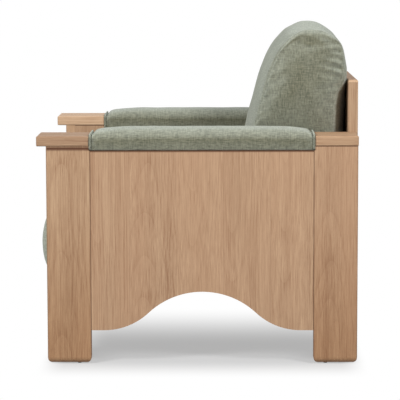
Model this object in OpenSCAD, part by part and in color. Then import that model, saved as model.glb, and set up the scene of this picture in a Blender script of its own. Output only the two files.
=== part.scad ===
// Oak lounge chair: two hollow box sides with arched panels and padded arms,
// a panel back, a webbed seat frame and two loose cushions.
// Millimetres, Z up. The chair faces -Y and the origin is on the floor under its middle.
// Left is the sitter's left, which is +X.

/* [Overall] */
// Width over the outer faces of the posts
chair_w = 800; // [720:5:900]
// Depth from the front edge of the front caps to the back edge of the rear caps
chair_d = 805; // [760:5:860]
// Height of the top of the arm caps above the floor
arm_h = 576; // [540:1:620]
// Width of each arm and of its wooden caps
arm_w = 130; // [110:1:150]
// Thickness of the boards that the posts and inner panels are made of
board_t = 25; // [20:0.5:28]
// Radius on the long edges of the oak boards
arris_r = 3; // [1:0.5:5]

/* [Posts and caps] */
// Width of a post seen from the side
post_d = 110; // [90:1:130]
// Thickness of the arm caps
cap_t = 25; // [18:0.5:30]
// How far a front cap stands out ahead of its post
cap_front_lap = 24; // [10:1:35]
// How far a rear cap stands out behind its post
cap_back_lap = 1; // [0:0.5:10]
// How far a cap stands out past the sides of its post
cap_side_lap = 1; // [0:0.5:5]
// Radius at the foot of each post
foot_r = 14; // [4:0.5:15]

/* [Side panels] */
// Thickness of the outer arched panel
panel_t = 22; // [16:0.5:25]
// Height of the panel's lower edge beside the posts
panel_bottom = 86; // [60:1:110]
// Height of the arch above that edge
arch_rise = 98; // [80:1:105]
// Radius of the crown of the arch
arch_crown_r = 197; // [180:1:215]
// Radius of the sweep from the arch into the lower edge
arch_sweep_r = 163; // [140:1:175]
// Width of the tongue on each upright edge of the panel
tongue_w = 8; // [5:0.5:9]
// Thickness of that tongue
tongue_t = 8; // [5:0.5:10]
// Chamfer on the upright edges of the panel, which marks its joints with the posts
joint_v = 1.2; // [0.5:0.1:2]

/* [Back] */
// Thickness of the back panel
back_t = 24; // [18:0.5:30]
// Height of the top of the back panel above the floor
back_h = 708; // [650:1:760]
// How far the back panel stands out behind the posts
back_lap = 6.5; // [0:0.5:10]
// Radius on the two top corners of the back panel
back_corner_r = 6; // [2:1:20]

/* [Seat frame] */
// Height of the top of the rails that carry the webbing
rail_top = 198; // [192:1:215]
// Thickness of the front and rear rails
rail_t = 27; // [22:1:32]
// Height of the front rail
front_rail_h = 93; // [75:1:105]
// Height of the rear rail
rear_rail_h = 58; // [50:1:70]
// How far the front rail stands back from the front of the posts
rail_setback = 20; // [16:1:30]
// Width of the bearers along the sides
bearer_w = 35; // [28:1:42]
// Height of the bearers along the sides
bearer_h = 33; // [26:1:33]
// Leg of the triangular corner blocks
block_leg = 48; // [36:1:55]

/* [Webbing] */
// Width of a webbing strap
web_w = 60; // [45:1:62]
// Thickness of a webbing strap
web_t = 1.6; // [1:0.1:2]
// Number of straps from front to back
web_long_n = 5; // [3:1:5]
// Number of straps from side to side
web_cross_n = 7; // [5:1:8]

/* [Seat cushion] */
// Height of the cushion's boxing between its seams
seat_box_h = 163; // [140:1:175]
// Rise of the crown above the top seam
seat_crown = 32; // [20:1:38]
// How far the front of the cushion stands out ahead of the arm caps
seat_front_over = 3; // [-20:0.5:8]
// Bulge of the front boxing ahead of its seams
seat_front_bulge = 16.5; // [8:0.5:20]
// Bulge of the other sides
seat_side_bulge = 5.5; // [3:0.5:7]
// Gap between the cushion and the arm pads beside it
seat_side_gap = 2; // [1:0.5:8]

/* [Back cushion] */
// Height of the cushion at its end seams
back_cushion_h = 436; // [400:1:470]
// Depth of the cushion at its foot
back_cushion_d = 274; // [230:1:290]
// Gap between each end of the cushion and the arm pad beside it
back_side_gap = 6; // [3:1:20]
// Crown of the front between the end seams
back_crown = 19; // [8:1:30]
// Bulge of each end panel
back_end_bulge = 9; // [4:0.5:10]

/* [Arm pads] */
// Depth that the pad hangs down below the caps' underside
pad_drop = 11; // [6:1:16]
// Height of the pad's crown above the caps
pad_crown = 20; // [12:1:26]
// Bulge of the pad past the side of the arm
pad_bulge = 5; // [2:0.5:8]
// Distance that the pad laps over the top of each post
pad_lap = 2.5; // [1:0.5:5]
// Thickness of the board under the pad
core_t = 22; // [16:1:24]
// Diameter of the piping at the pad's ends
welt_d = 5; // [4:0.5:6]

/* [Hardware] */
// Diameter of the frame bolts
bolt_d = 7.8; // [5.8:0.2:8]
// Diameter of the cross dowel nuts
nut_d = 12; // [10:0.5:14]
// Diameter of the wooden dowels
dowel_d = 8; // [6:0.5:10]
// Diameter of the wood screws' shanks
screw_d = 4; // [3:0.5:5]
// Thickness of the nylon glides under the posts
glide_t = 2; // [1.5:0.5:5]
// Diameter of the glides
glide_d = 11; // [8:1:14]

/* [Hidden] */

oak = "#c39d78";
beech = "#d9bf95";
ply = "#cdb07f";
steel = "#a9abad";
sage = "#9a9c86";
foam = "#ece3b9";
jute = "#5a564c";

clear = 0.4;            // gap between soft parts that move and their neighbours
snug = 0.2;             // gap round screws, bolts and dowels in their holes
eps = 1;                // overrun of a cutting solid

// Depths, front to back
front_y = -chair_d / 2;
back_y = chair_d / 2;
post_front = front_y + cap_front_lap;
post_back = back_y - cap_back_lap;
seam_front = post_front + post_d;
seam_back = post_back - post_d;
pad_y0 = seam_front - pad_lap;
pad_y1 = seam_back + pad_lap;
arch_y = (seam_front + seam_back) / 2;
inner_y0 = post_front + board_t;
inner_y1 = post_back - board_t;
panel_rear = post_back + back_lap;
back_front = panel_rear - back_t;

// Widths
x_out = chair_w / 2;
x_in = x_out - arm_w;
arm_x = x_out - arm_w / 2;

// Heights
foot_z = glide_t;
post_top = arm_h - cap_t;
pad_z = post_top - pad_drop;
web_gap = 0.2;
deck_top = rail_top + 2 * web_t + web_gap;
seat_z0 = deck_top + clear;
seat_z1 = seat_z0 + seat_box_h;
seat_top = seat_z1 + seat_crown;

// Seat frame
front_rail_y0 = post_front + rail_setback;
front_rail_y1 = front_rail_y0 + rail_t;
rear_rail_y0 = back_front - rail_t;
bearer_x = x_in - bearer_w;

// Points on an arc from angle a0 to a1
function arc(cx, cy, r, a0, a1, n) =
    [for (i = [0:n]) let (a = a0 + (a1 - a0) * i / n) [cx + r * cos(a), cy + r * sin(a)]];

// Outline of a rectangle with its own radius at each corner, anticlockwise from low left
function box_outline(x0, y0, x1, y1, r_low, r_high, n = 4) = concat(
    arc(x0 + r_low, y0 + r_low, r_low, 180, 270, n),
    arc(x1 - r_low, y0 + r_low, r_low, 270, 360, n),
    arc(x1 - r_high, y1 - r_high, r_high, 0, 90, n),
    arc(x0 + r_high, y1 - r_high, r_high, 90, 180, n));

// Lower edge of an arched panel, from its front end to its rear end: each sweep meets the
// crown where both have the same slope
arch_slope = acos(1 - arch_rise / (arch_crown_r + arch_sweep_r));
arch_half = (arch_crown_r + arch_sweep_r) * sin(arch_slope);
arch_top = panel_bottom + arch_rise;
function arch_edge() = concat(
    arc(arch_y - arch_half, panel_bottom + arch_sweep_r, arch_sweep_r, 270, 270 + arch_slope, 12),
    arc(arch_y, arch_top - arch_crown_r, arch_crown_r, 90 + arch_slope, 90 - arch_slope, 24),
    arc(arch_y + arch_half, panel_bottom + arch_sweep_r, arch_sweep_r, 270 - arch_slope, 270, 12));

// Puts a shape drawn in Y and Z between two planes of X
module across_x(x0, x1) {
    translate([x0, 0, 0]) rotate([90, 0, 90]) linear_extrude(x1 - x0) children();
}

// Puts a shape drawn in X and Z between two planes of Y
module across_y(y0, y1) {
    translate([0, y1, 0]) rotate([90, 0, 0]) linear_extrude(y1 - y0) children();
}

// Puts a shape drawn in X and Y between two planes of Z
module across_z(z0, z1) {
    translate([0, 0, z0]) linear_extrude(z1 - z0) children();
}

// A block between two corners
module block(low, high) {
    translate(low) cube(high - low);
}

// A rod along X, Y or Z from a point
module rod_x(at, length, d) {
    translate(at) rotate([0, 90, 0]) cylinder(d = d, h = length, $fn = 32);
}

module rod_y(at, length, d) {
    translate(at) rotate([-90, 0, 0]) cylinder(d = d, h = length, $fn = 32);
}

module rod_z(at, length, d) {
    translate(at) cylinder(d = d, h = length, $fn = 32);
}

// The left side is drawn, and the right side is its mirror image
module right() {
    mirror([1, 0, 0]) children();
}

module both() {
    children();
    right() children();
}

// A board with all its edges eased
module eased_board(low, high, r) {
    intersection() {
        across_z(low.z, high.z) polygon(box_outline(low.x, low.y, high.x, high.y, r, r));
        across_x(low.x, high.x) polygon(box_outline(low.y, low.z, high.y, high.z, r, r));
        across_y(low.y, high.y) polygon(box_outline(low.x, low.z, high.x, high.z, r, r));
    }
}

// Closed skin over rings of points, with a point at each end
module skin(rings, first, last) {
    n = len(rings[0]);
    m = len(rings);
    points = concat([first], [for (ring = rings) each ring], [last]);
    faces = concat(
        [for (j = [0:n - 1]) [0, 1 + j, 1 + (j + 1) % n]],
        [for (k = [0:m - 2], j = [0:n - 1])
            let (a = 1 + k * n + j, b = 1 + k * n + (j + 1) % n) [a, a + n, b]],
        [for (k = [0:m - 2], j = [0:n - 1])
            let (a = 1 + k * n + j, b = 1 + k * n + (j + 1) % n) [b, a + n, b + n]],
        [for (j = [0:n - 1]) let (a = 1 + (m - 1) * n) [a + j, 1 + m * n, a + (j + 1) % n]]);
    polyhedron(points, faces, convexity = 4);
}

// POSTS
// A post is an L of two boards: one seen from the side and one seen from the front or
// back, mitred together at the outer corner. It is open inwards below the inner panel.

tongue_x = x_out - panel_t / 2;
tongue_slack = 0.5;
spline_w = 16;
spline_t = 4;
spline_z0 = foot_z + 24;
spline_z1 = post_top - 12;

// Room that a leg takes, with the round at its foot
module leg_room(y0, y1) {
    intersection() {
        across_x(x_in - eps, x_out + eps)
            polygon(box_outline(y0, foot_z, y1, post_top + arris_r, foot_r, arris_r));
        across_y(y0 - eps, y1 + eps)
            polygon(box_outline(x_in, foot_z, x_out, post_top + arris_r, foot_r, arris_r));
        block([x_in - eps, y0 - eps, 0], [x_out + eps, y1 + eps, post_top]);
    }
}

// Spline in the mitre of a post: dir is 1 at the front and -1 at the back
module mitre_spline(y, dir, slack = 0) {
    translate([x_out - board_t / 2, y + dir * board_t / 2, 0]) rotate([0, 0, dir * 45])
        block([-spline_w / 2 - slack, -spline_t / 2 - slack / 4, spline_z0 - slack],
              [spline_w / 2 + slack, spline_t / 2 + slack / 4, spline_z1 + slack]);
}

// Board of a post that is seen from the side: y is its mitred edge and dir points inwards
module post_board(y, dir) {
    seam = y + dir * post_d;
    inner = y + dir * board_t;
    pad_end = seam - dir * pad_lap;
    tongue_end = seam - dir * (tongue_w + tongue_slack);
    difference() {
        intersection() {
            leg_room(min(y, seam), max(y, seam));
            across_z(0, post_top) polygon([
                [x_out, y + dir * arris_r], [x_out, seam],
                [x_out - board_t, seam], [x_out - board_t, inner],
                [x_out - arris_r * 0.55, y + dir * arris_r * 0.55]]);
        }
        block([x_out - board_t - eps, min(pad_end, seam + dir * eps), pad_z],
              [x_out + eps, max(pad_end, seam + dir * eps), post_top + eps]);
        block([tongue_x - tongue_t / 2, min(tongue_end, seam + dir), panel_bottom],
              [tongue_x + tongue_t / 2, max(tongue_end, seam + dir), post_top + eps]);
        mitre_spline(y, dir, tongue_slack);
        cap_dowel_set(snug);
        glide_set(snug);
    }
}

// Board of a post that is seen from the front or the back
module face_board(y, dir) {
    inner = y + dir * board_t;
    difference() {
        intersection() {
            leg_room(min(y, y + dir * post_d), max(y, y + dir * post_d));
            across_z(0, post_top) polygon([
                [x_in, y + dir * arris_r], [x_in + arris_r * 0.3, y + dir * arris_r * 0.3],
                [x_in + arris_r, y], [x_out - arris_r, y],
                [x_out - arris_r * 0.55, y + dir * arris_r * 0.55],
                [x_out - board_t, inner], [x_in, inner]]);
        }
        mitre_spline(y, dir, tongue_slack);
        panel_dowel_set(snug);
        back_dowel_set(snug);
        glide_set(snug);
    }
}

module front_post_left() { color(oak) post_board(post_front, 1); }
module front_post_right() { right() front_post_left(); }
module front_face_left() { color(oak) face_board(post_front, 1); }
module front_face_right() { right() front_face_left(); }
module rear_post_left() { color(oak) post_board(post_back, -1); }
module rear_post_right() { right() rear_post_left(); }
module rear_face_left() { color(oak) face_board(post_back, -1); }
module rear_face_right() { right() rear_face_left(); }

module mitre_splines() {
    color(ply) both() {
        mitre_spline(post_front, 1);
        mitre_spline(post_back, -1);
    }
}

// PANELS OF THE SIDES

// Outer panel: flush with the posts, tongued into them, with the arch cut in its lower edge
module side_panel() {
    union() {
        intersection() {
            across_x(x_out - panel_t, x_out) polygon(concat(
                [[seam_front, panel_bottom]], arch_edge(), [[seam_back, panel_bottom]],
                [[seam_back, pad_z], [seam_front, pad_z]]));
            across_z(0, arm_h) polygon([
                [x_out - panel_t, seam_front], [x_out - joint_v, seam_front],
                [x_out, seam_front + joint_v], [x_out, seam_back - joint_v],
                [x_out - joint_v, seam_back], [x_out - panel_t, seam_back]]);
        }
        for (y = [seam_front - tongue_w, seam_back - eps])
            block([tongue_x - tongue_t / 2 + snug / 2, y, panel_bottom + tongue_slack],
                  [tongue_x + tongue_t / 2 - snug / 2, y + tongue_w + eps, pad_z]);
    }
}

module side_panel_left() { color(oak) side_panel(); }
module side_panel_right() { right() side_panel_left(); }

// Inner panel: closes the hollow arm towards the seat and carries the seat frame
module inner_panel() {
    difference() {
        across_x(x_in, x_in + board_t) polygon(concat(
            [[inner_y0, panel_bottom]], arch_edge(), [[inner_y1, panel_bottom]],
            [[inner_y1, post_top], [pad_y1, post_top], [pad_y1, pad_z]],
            [[pad_y0, pad_z], [pad_y0, post_top], [inner_y0, post_top]]));
        panel_dowel_set(snug);
        cap_dowel_set(snug);
        bolt_set(snug);
        bearer_screw_set(snug);
    }
}

module inner_panel_left() { color(oak) inner_panel(); }
module inner_panel_right() { right() inner_panel_left(); }

// Dowels between the inner panel and the face boards. The lowest at each end sits midway
// between the two frame bolts there.
panel_dowel_l = 30;
panel_dowel_in = 9;
panel_dowel_drop = 50;
function panel_dowel_z(low) = let (high = post_top - panel_dowel_drop) [low, (low + high) / 2, high];
module panel_dowel_set(slack = 0) {
    length = panel_dowel_l + 2 * slack;
    for (z = panel_dowel_z(rail_top - front_rail_h / 2))
        rod_y([x_in + board_t / 2, inner_y0 - panel_dowel_in - slack, z], length, dowel_d + slack);
    for (z = panel_dowel_z(rail_top - rear_rail_h / 2))
        rod_y([x_in + board_t / 2, inner_y1 + panel_dowel_in - panel_dowel_l - slack, z], length,
              dowel_d + slack);
}

module panel_dowels() { color(beech) both() panel_dowel_set(); }

// CAPS

// Wooden cap over a post, between two depths
module arm_cap(y0, y1) {
    difference() {
        eased_board([x_in - cap_side_lap, y0, post_top], [x_out + cap_side_lap, y1, arm_h], arris_r);
        cap_dowel_set(snug);
    }
}

module front_cap_left() { color(oak) arm_cap(front_y, pad_y0); }
module front_cap_right() { right() front_cap_left(); }
// The rear caps are cut flush with their posts where the back panel meets them
module rear_cap_left() {
    color(oak) difference() {
        arm_cap(pad_y1, back_y);
        block([x_in - cap_side_lap - eps, back_front - snug, post_top - eps],
              [x_in, back_y + eps, arm_h + eps]);
    }
}
module rear_cap_right() { right() rear_cap_left(); }

// Dowels that stand in the posts and hold the caps
cap_dowel_l = 30;
cap_dowel_up = 14;
module cap_dowel_set(slack = 0) {
    for (y = [post_front + post_d * 0.6, post_back - post_d * 0.6])
        for (x = [x_out - board_t / 2, x_in + board_t / 2])
            rod_z([x, y, post_top + cap_dowel_up - cap_dowel_l - slack], cap_dowel_l + 2 * slack,
                  dowel_d + slack);
}

module cap_dowels() { color(beech) both() cap_dowel_set(); }

// ARM PADS

core_half = arm_w / 2 - 5;
wrap_t = 2;             // foam beside the board, and cover beside the foam in the necks
foam_half = core_half + wrap_t;
neck_half = foam_half + wrap_t;
neck_r = 9.5;
neck_rise = 1.5;
neck_top = arm_h + neck_rise;
pad_half = arm_w / 2 + pad_bulge;
pad_top = arm_h + pad_crown;
pad_r = 24;

// Board that the pad is built on: it lies on the top edges of the two panels
module arm_core() {
    difference() {
        eased_board([arm_x - core_half, seam_front + clear, pad_z],
                    [arm_x + core_half, seam_back - clear, pad_z + core_t], 2);
        cleat_screw_set(snug);
    }
}

module arm_core_left() { color(ply) arm_core(); }
module arm_core_right() { right() arm_core_left(); }

// Battens between the two panels that the board is screwed to
cleat_w = 32;
cleat_h = 20;
cleat_y = [for (k = [-1, 1]) arch_y + k * (seam_back - seam_front) * 0.33];
module arm_cleats() {
    color(beech) both() difference() {
        for (y = cleat_y)
            block([x_in + board_t, y - cleat_w / 2, pad_z - cleat_h],
                  [x_out - panel_t, y + cleat_w / 2, pad_z]);
        cleat_screw_set(snug);
    }
}

cleat_screw_l = 34;
cleat_screw_x = 22;
module cleat_screw_set(slack = 0) {
    for (y = cleat_y, x = [arm_x - cleat_screw_x, arm_x + cleat_screw_x])
        screw([x, y, pad_z - cleat_h], [0, 0, 0], cleat_screw_l, slack);
}

module cleat_screws() { color(steel) both() cleat_screw_set(); }

// A countersunk wood screw that starts at a point and runs along its own +Z
module screw(at, turn, length, slack = 0) {
    head_d = 2 * screw_d + 3 * slack;
    translate(at) rotate(turn) translate([0, 0, -slack]) union() {
        cylinder(d = screw_d + slack, h = length + 2 * slack, $fn = 24);
        cylinder(d1 = head_d, d2 = screw_d + slack, h = screw_d / 2 + slack, $fn = 24);
    }
}

// Section across an arm pad: straight sides, round shoulders and a crowned top
function pad_section(half, top, r, crown, under) = concat(
    [[half - under, pad_z], [half, pad_z + under]],
    arc(half - r, top - crown - r, r, 0, 80, 5),
    [for (i = [1:5]) let (t = 1 - i / 3) [(half - r) * t, top - crown * t * t]],
    arc(r - half, top - crown - r, r, 100, 180, 5),
    [[-half, pad_z + under], [under - half, pad_z]]);

// How full the pad is at a distance from its end, from 0 in the neck to 1 at the full crown
neck_l = 6;
swell_l = 50;
function fullness(d) = d <= neck_l ? 0 : sin(90 * min(1, (d - neck_l) / swell_l));

function pad_ring(y, d) = let (f = fullness(d))
    [for (p = pad_section(neck_half + (pad_half - neck_half) * pow(f, 0.6),
                          neck_top + (pad_top - neck_top) * f,
                          neck_r + (pad_r - neck_r) * f, 1 + 4 * f, 1 + 3 * f))
        [arm_x + p.x, y, p.y]];

pad_steps = [0, neck_l, neck_l + 3, neck_l + 9, neck_l + 20, neck_l + 35, neck_l + swell_l];

// Outer form of an arm pad
module pad_form() {
    y0 = pad_y0 + clear / 2;
    y1 = pad_y1 - clear / 2;
    mid_y = (y0 + y1) / 2;
    skin(concat([for (d = pad_steps) pad_ring(y0 + d, d)], [pad_ring(mid_y, swell_l * 2)],
                [for (i = [len(pad_steps) - 1:-1:0]) pad_ring(y1 - pad_steps[i], pad_steps[i])]),
         [arm_x, y0, (pad_z + neck_top) / 2], [arm_x, y1, (pad_z + neck_top) / 2]);
}

// Foam that wraps the top and sides of the board, with wadding between it and the cover
foam_r = 20;
wadding_t = 7;
foam_end = pad_lap;     // distance from the end of the pad to the end of its foam
foam_neck_l = 12;
foam_neck_drop = 4;
module foam_form() {
    y0 = pad_y0 + foam_end;
    y1 = pad_y1 - foam_end;
    foam_top = pad_top - wadding_t;
    intersection() {
        across_y(y0, y1) polygon(box_outline(arm_x - foam_half, pad_z, arm_x + foam_half,
                                             foam_top, 1, foam_r, 6));
        across_x(arm_x - pad_half, arm_x + pad_half) polygon([
            [y0, pad_z], [y1, pad_z], [y1, neck_top - foam_neck_drop],
            [y1 - foam_neck_l, arm_h], [y1 - swell_l, foam_top],
            [y0 + swell_l, foam_top], [y0 + foam_neck_l, arm_h],
            [y0, neck_top - foam_neck_drop]]);
    }
}

module core_room() {
    block([arm_x - core_half, pad_y0, pad_z - eps], [arm_x + core_half, pad_y1, pad_z + core_t]);
}

module arm_foam_left() {
    color(foam) difference() {
        foam_form();
        core_room();
    }
}
module arm_foam_right() { right() arm_foam_left(); }

// Fabric cover with its wadding, drawn over the foam and under the board's edges
module arm_cover_left() {
    color(sage) difference() {
        pad_form();
        foam_form();
        core_room();
    }
}
module arm_cover_right() { right() arm_cover_left(); }

// Piping round the neck at both ends of a pad
welt_half = neck_half + welt_d / 2;
welt_r = neck_r + welt_d / 2;
welt_z1 = neck_top + welt_d / 2;
welt_z0 = pad_z + 4;
module welt_hoop(y) {
    for (side = [-1, 1]) {
        rod_z([arm_x + side * welt_half, y, welt_z0], welt_z1 - welt_r - welt_z0, welt_d);
        translate([arm_x + side * (welt_half - welt_r), y, welt_z1 - welt_r]) rotate([90, 0, 0])
            rotate([0, 0, side > 0 ? 0 : 90]) rotate_extrude(angle = 90, $fn = 48)
                translate([welt_r, 0]) circle(d = welt_d, $fn = 24);
    }
    rod_x([arm_x - welt_half + welt_r, y, welt_z1], 2 * (welt_half - welt_r), welt_d);
}

module arm_welt_left() {
    color(sage) {
        welt_hoop(pad_y0 + clear / 2 + welt_d / 2);
        welt_hoop(pad_y1 - clear / 2 - welt_d / 2);
    }
}
module arm_welt_right() { right() arm_welt_left(); }

// BACK

module back_panel() {
    color(oak) difference() {
        intersection() {
            across_y(back_front, panel_rear) polygon(box_outline(
                -x_in, panel_bottom, x_in, back_h, 1, back_corner_r));
            across_x(-x_in, x_in) polygon(box_outline(
                back_front, panel_bottom, panel_rear, back_h, arris_r, arris_r));
        }
        both() back_dowel_set(snug);
        back_screw_set(snug);
    }
}

back_dowel_l = 40;
back_dowel_z0 = panel_bottom + 60;
back_dowel_z1 = post_top - 40;
back_dowel_z = [for (i = [0:4]) back_dowel_z0 + i * (back_dowel_z1 - back_dowel_z0) / 4];
back_dowel_y = (back_front + post_back) / 2;
module back_dowel_set(slack = 0) {
    for (z = back_dowel_z)
        rod_x([x_in - back_dowel_l / 2 - slack, back_dowel_y, z], back_dowel_l + 2 * slack,
              dowel_d + slack);
}

module back_dowels() { color(beech) both() back_dowel_set(); }

// SEAT FRAME

front_rail_z0 = rail_top - front_rail_h;
rear_rail_z0 = rail_top - rear_rail_h;
bearer_z0 = rail_top - bearer_h;

module front_rail() {
    color(oak) difference() {
        block([-x_in, front_rail_y0, front_rail_z0], [x_in, front_rail_y1, rail_top]);
        both() bolt_set(snug);
        both() nut_set(snug);
        block_screw_set(snug);
    }
}

module rear_rail() {
    color(beech) difference() {
        block([-x_in, rear_rail_y0, rear_rail_z0], [x_in, back_front, rail_top]);
        both() bolt_set(snug);
        both() nut_set(snug);
        back_screw_set(snug);
        block_screw_set(snug);
    }
}

// Screws through the rear rail into the back panel
back_screw_l = 45;
module back_screw_set(slack = 0) {
    for (i = [-2:2])
        screw([i * x_in * 0.32, rear_rail_y0, (rear_rail_z0 + rail_top) / 2], [-90, 0, 0],
              back_screw_l, slack);
}

module back_screws() { color(steel) back_screw_set(); }

module seat_bearer_left() {
    color(beech) difference() {
        block([bearer_x, front_rail_y1, bearer_z0], [x_in, rear_rail_y0, rail_top]);
        bearer_screw_set(snug);
        block_screw_set(snug);
    }
}
module seat_bearer_right() { right() seat_bearer_left(); }

// Screws through a bearer into the inner panel
bearer_screw_l = bearer_w + board_t * 0.6;
module bearer_screw_set(slack = 0) {
    span = rear_rail_y0 - front_rail_y1;
    for (i = [0:3])
        screw([bearer_x, front_rail_y1 + span * (0.16 + 0.68 * i / 3), bearer_z0 + bearer_h / 2],
              [0, 90, 0], bearer_screw_l, slack);
}

module bearer_screws() { color(steel) both() bearer_screw_set(); }

// Triangular blocks in the four corners, glued and screwed
block_z0 = bearer_z0 + 4;
block_z1 = rail_top - 3;
module corner_block(y, dir) {
    across_z(block_z0, block_z1)
        polygon([[bearer_x, y], [bearer_x, y + dir * block_leg], [bearer_x - block_leg, y]]);
}

module corner_blocks() {
    color(beech) difference() {
        both() {
            corner_block(front_rail_y1, 1);
            corner_block(rear_rail_y0, -1);
        }
        block_screw_set(snug);
    }
}

// Two screws in each block: one into the rail and one into the bearer
block_screw_l = 34;
block_screw_up = [7, 18];
module block_screw_set(slack = 0) {
    x = bearer_x - block_leg / 2;
    y0 = front_rail_y1 + block_leg / 2;
    y1 = rear_rail_y0 - block_leg / 2;
    both() {
        screw([x, y0, block_z0 + block_screw_up[1]], [90, 0, 0], block_screw_l, slack);
        screw([x, y1, block_z0 + block_screw_up[1]], [-90, 0, 0], block_screw_l, slack);
        for (y = [y0, y1])
            screw([x, y, block_z0 + block_screw_up[0]], [0, 90, 0], block_screw_l, slack);
    }
}

module block_screws() { color(steel) block_screw_set(); }

// Bolts from inside the hollow arm through the inner panel into nuts in the rails
bolt_l = 60;
bolt_head_d = 13;
bolt_head_t = 5;
bolt_hex_w = 6;
bolt_hex_floor = 2;
bolt_inset = 11.5;
nut_x = x_in + board_t - bolt_l + 8;
front_bolt_y = front_rail_y1 - bolt_inset;
rear_bolt_y = rear_rail_y0 + bolt_inset;
front_bolt_z = [for (k = [-1, 1]) front_rail_z0 + front_rail_h * (0.5 + k * 0.23)];
rear_bolt_z = [for (k = [-1, 1]) rear_rail_z0 + rear_rail_h * (0.5 + k * 0.23)];
bolt_spots = concat([for (z = front_bolt_z) [front_bolt_y, z]], [for (z = rear_bolt_z) [rear_bolt_y, z]]);

module bolt_set(slack = 0) {
    for (s = bolt_spots) {
        rod_x([x_in + board_t - bolt_l - slack, s.x, s.y], bolt_l + slack + (slack > 0 ? eps : 0),
              bolt_d + slack);
        if (slack == 0)
            translate([x_in + board_t, s.x, s.y]) rotate([0, 90, 0]) difference() {
                cylinder(d = bolt_head_d, h = bolt_head_t, $fn = 32);
                translate([0, 0, bolt_hex_floor]) cylinder(d = bolt_hex_w, h = bolt_head_t, $fn = 6);
            }
    }
}

module frame_bolts() { color(steel) both() bolt_set(); }

nut_l = rail_t - 7;
module nut_set(slack = 0) {
    for (z = front_bolt_z)
        rod_y([nut_x, front_rail_y1 - nut_l - slack, z], nut_l + slack + (slack > 0 ? eps : 0),
              nut_d + slack);
    for (z = rear_bolt_z)
        rod_y([nut_x, rear_rail_y0 - (slack > 0 ? eps : 0), z], nut_l + slack + (slack > 0 ? eps : 0),
              nut_d + slack);
}

module barrel_nuts() {
    color(steel) both() difference() {
        nut_set();
        for (s = bolt_spots)
            rod_x([nut_x - nut_d, s.x, s.y], 2 * nut_d, bolt_d + 0.1);
    }
}

// WEBBING
// Straps run both ways and pass over and under each other by turns.

web_span_y = rear_rail_y0 - front_rail_y1;
web_pitch_x = 2 * bearer_x / (web_long_n + 0.25);
web_pitch_y = web_span_y / (web_cross_n + 0.4);
web_mid_y = (front_rail_y1 + rear_rail_y0) / 2;
long_x = [for (i = [0:web_long_n - 1]) (i - (web_long_n - 1) / 2) * web_pitch_x];
cross_y = [for (i = [0:web_cross_n - 1]) web_mid_y + (i - (web_cross_n - 1) / 2) * web_pitch_y];
web_end = 4;

// Side view of a strap: flat on the rails, and raised where it passes over another
function strap_line(s0, s1, stops, phase, lift) = concat(
    [[s0, lift]],
    [for (i = [0:len(stops) - 1], k = [-1, 1])
        [stops[i] + k * (web_w / 2 + 2), lift + ((i + phase) % 2 == 0 ? 0 : web_t + web_gap)]],
    [[s1, lift]]);

function strap_side(s0, s1, stops, phase) = let (low = strap_line(s0, s1, stops, phase, rail_top),
    high = strap_line(s0, s1, stops, phase, rail_top + web_t))
    concat(low, [for (i = [len(high) - 1:-1:0]) high[i]]);

module webbing_long() {
    color(jute) for (i = [0:web_long_n - 1])
        across_x(long_x[i] - web_w / 2, long_x[i] + web_w / 2)
            polygon(strap_side(front_rail_y0 + web_end, back_front - web_end, cross_y, i));
}

module webbing_cross() {
    color(jute) for (j = [0:web_cross_n - 1])
        across_y(cross_y[j] - web_w / 2, cross_y[j] + web_w / 2)
            polygon(strap_side(-x_in + web_end, x_in - web_end, long_x, j + 1));
}

// Wire staples across the ends of the straps
staple_w = 10;
staple_wire = 0.9;
staple_leg = 8;
module staple(at, turn) {
    translate([at.x, at.y, rail_top + web_t]) rotate([0, 0, turn]) {
        block([-staple_w / 2, -staple_wire / 2, 0], [staple_w / 2, staple_wire / 2, staple_wire]);
        for (k = [-1, 1])
            block([k * (staple_w - staple_wire) / 2 - staple_wire / 2, -staple_wire / 2, -staple_leg],
                  [k * (staple_w - staple_wire) / 2 + staple_wire / 2, staple_wire / 2, 0]);
    }
}

module webbing_staples() {
    color(steel) {
        for (x = long_x, k = [-1, 0, 1], y = [front_rail_y0 + 12, back_front - 12])
            staple([x + k * web_w * 0.33, y], 0);
        for (y = cross_y, k = [-1, 0, 1], x = [12 - x_in, x_in - 12])
            staple([x, y + k * web_w * 0.33], 90);
    }
}

// GLIDES

glide_inset = (board_t - foot_r) / 2;
glide_nail_d = 3;
glide_nail_l = 16;
glide_spots = concat(
    [for (y = [post_front + post_d * 0.72, post_back - post_d * 0.72]) [x_out - board_t + glide_inset, y]],
    [for (y = [inner_y0 - glide_inset, inner_y1 + glide_inset]) [x_in + arm_w * 0.3, y]]);

module glide_set(slack = 0) {
    for (s = glide_spots)
        rod_z([s.x, s.y, foot_z - eps], glide_nail_l + eps + slack, glide_nail_d + slack);
}

module floor_glides() {
    color("#4b4a46") both() {
        glide_set();
        for (s = glide_spots)
            translate([s.x, s.y, 0]) cylinder(d1 = glide_d - 2, d2 = glide_d, h = glide_t, $fn = 40);
    }
}

// SEAT CUSHION

seat_a = x_in - pad_bulge - seat_side_gap - seat_side_bulge;
zip_room = 1.6;
seat_rear = back_front - zip_room - seat_side_bulge;
seat_front = front_y - seat_front_over + seat_front_bulge;
seat_mid = (seat_front + seat_rear) / 2;
seat_b = (seat_rear - seat_front) / 2;
seat_square = 12;       // how square the plan is: 2 is an ellipse
seat_n = 48;

// One ring of the cushion: half width, half depth to the front, half depth to the rear, height
function plan_radius(angle, a, b) =
    pow(pow(abs(cos(angle)) / a, seat_square) + pow(abs(sin(angle)) / b, seat_square), -1 / seat_square);
function seat_ring(a, b_front, b_rear, z) = [for (j = [0:seat_n - 1])
    let (angle = 360 * (j + 0.5) / seat_n, b = sin(angle) < 0 ? b_front : b_rear,
         r = plan_radius(angle, a, b))
    [r * cos(angle), seat_mid + r * sin(angle), z]];

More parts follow.
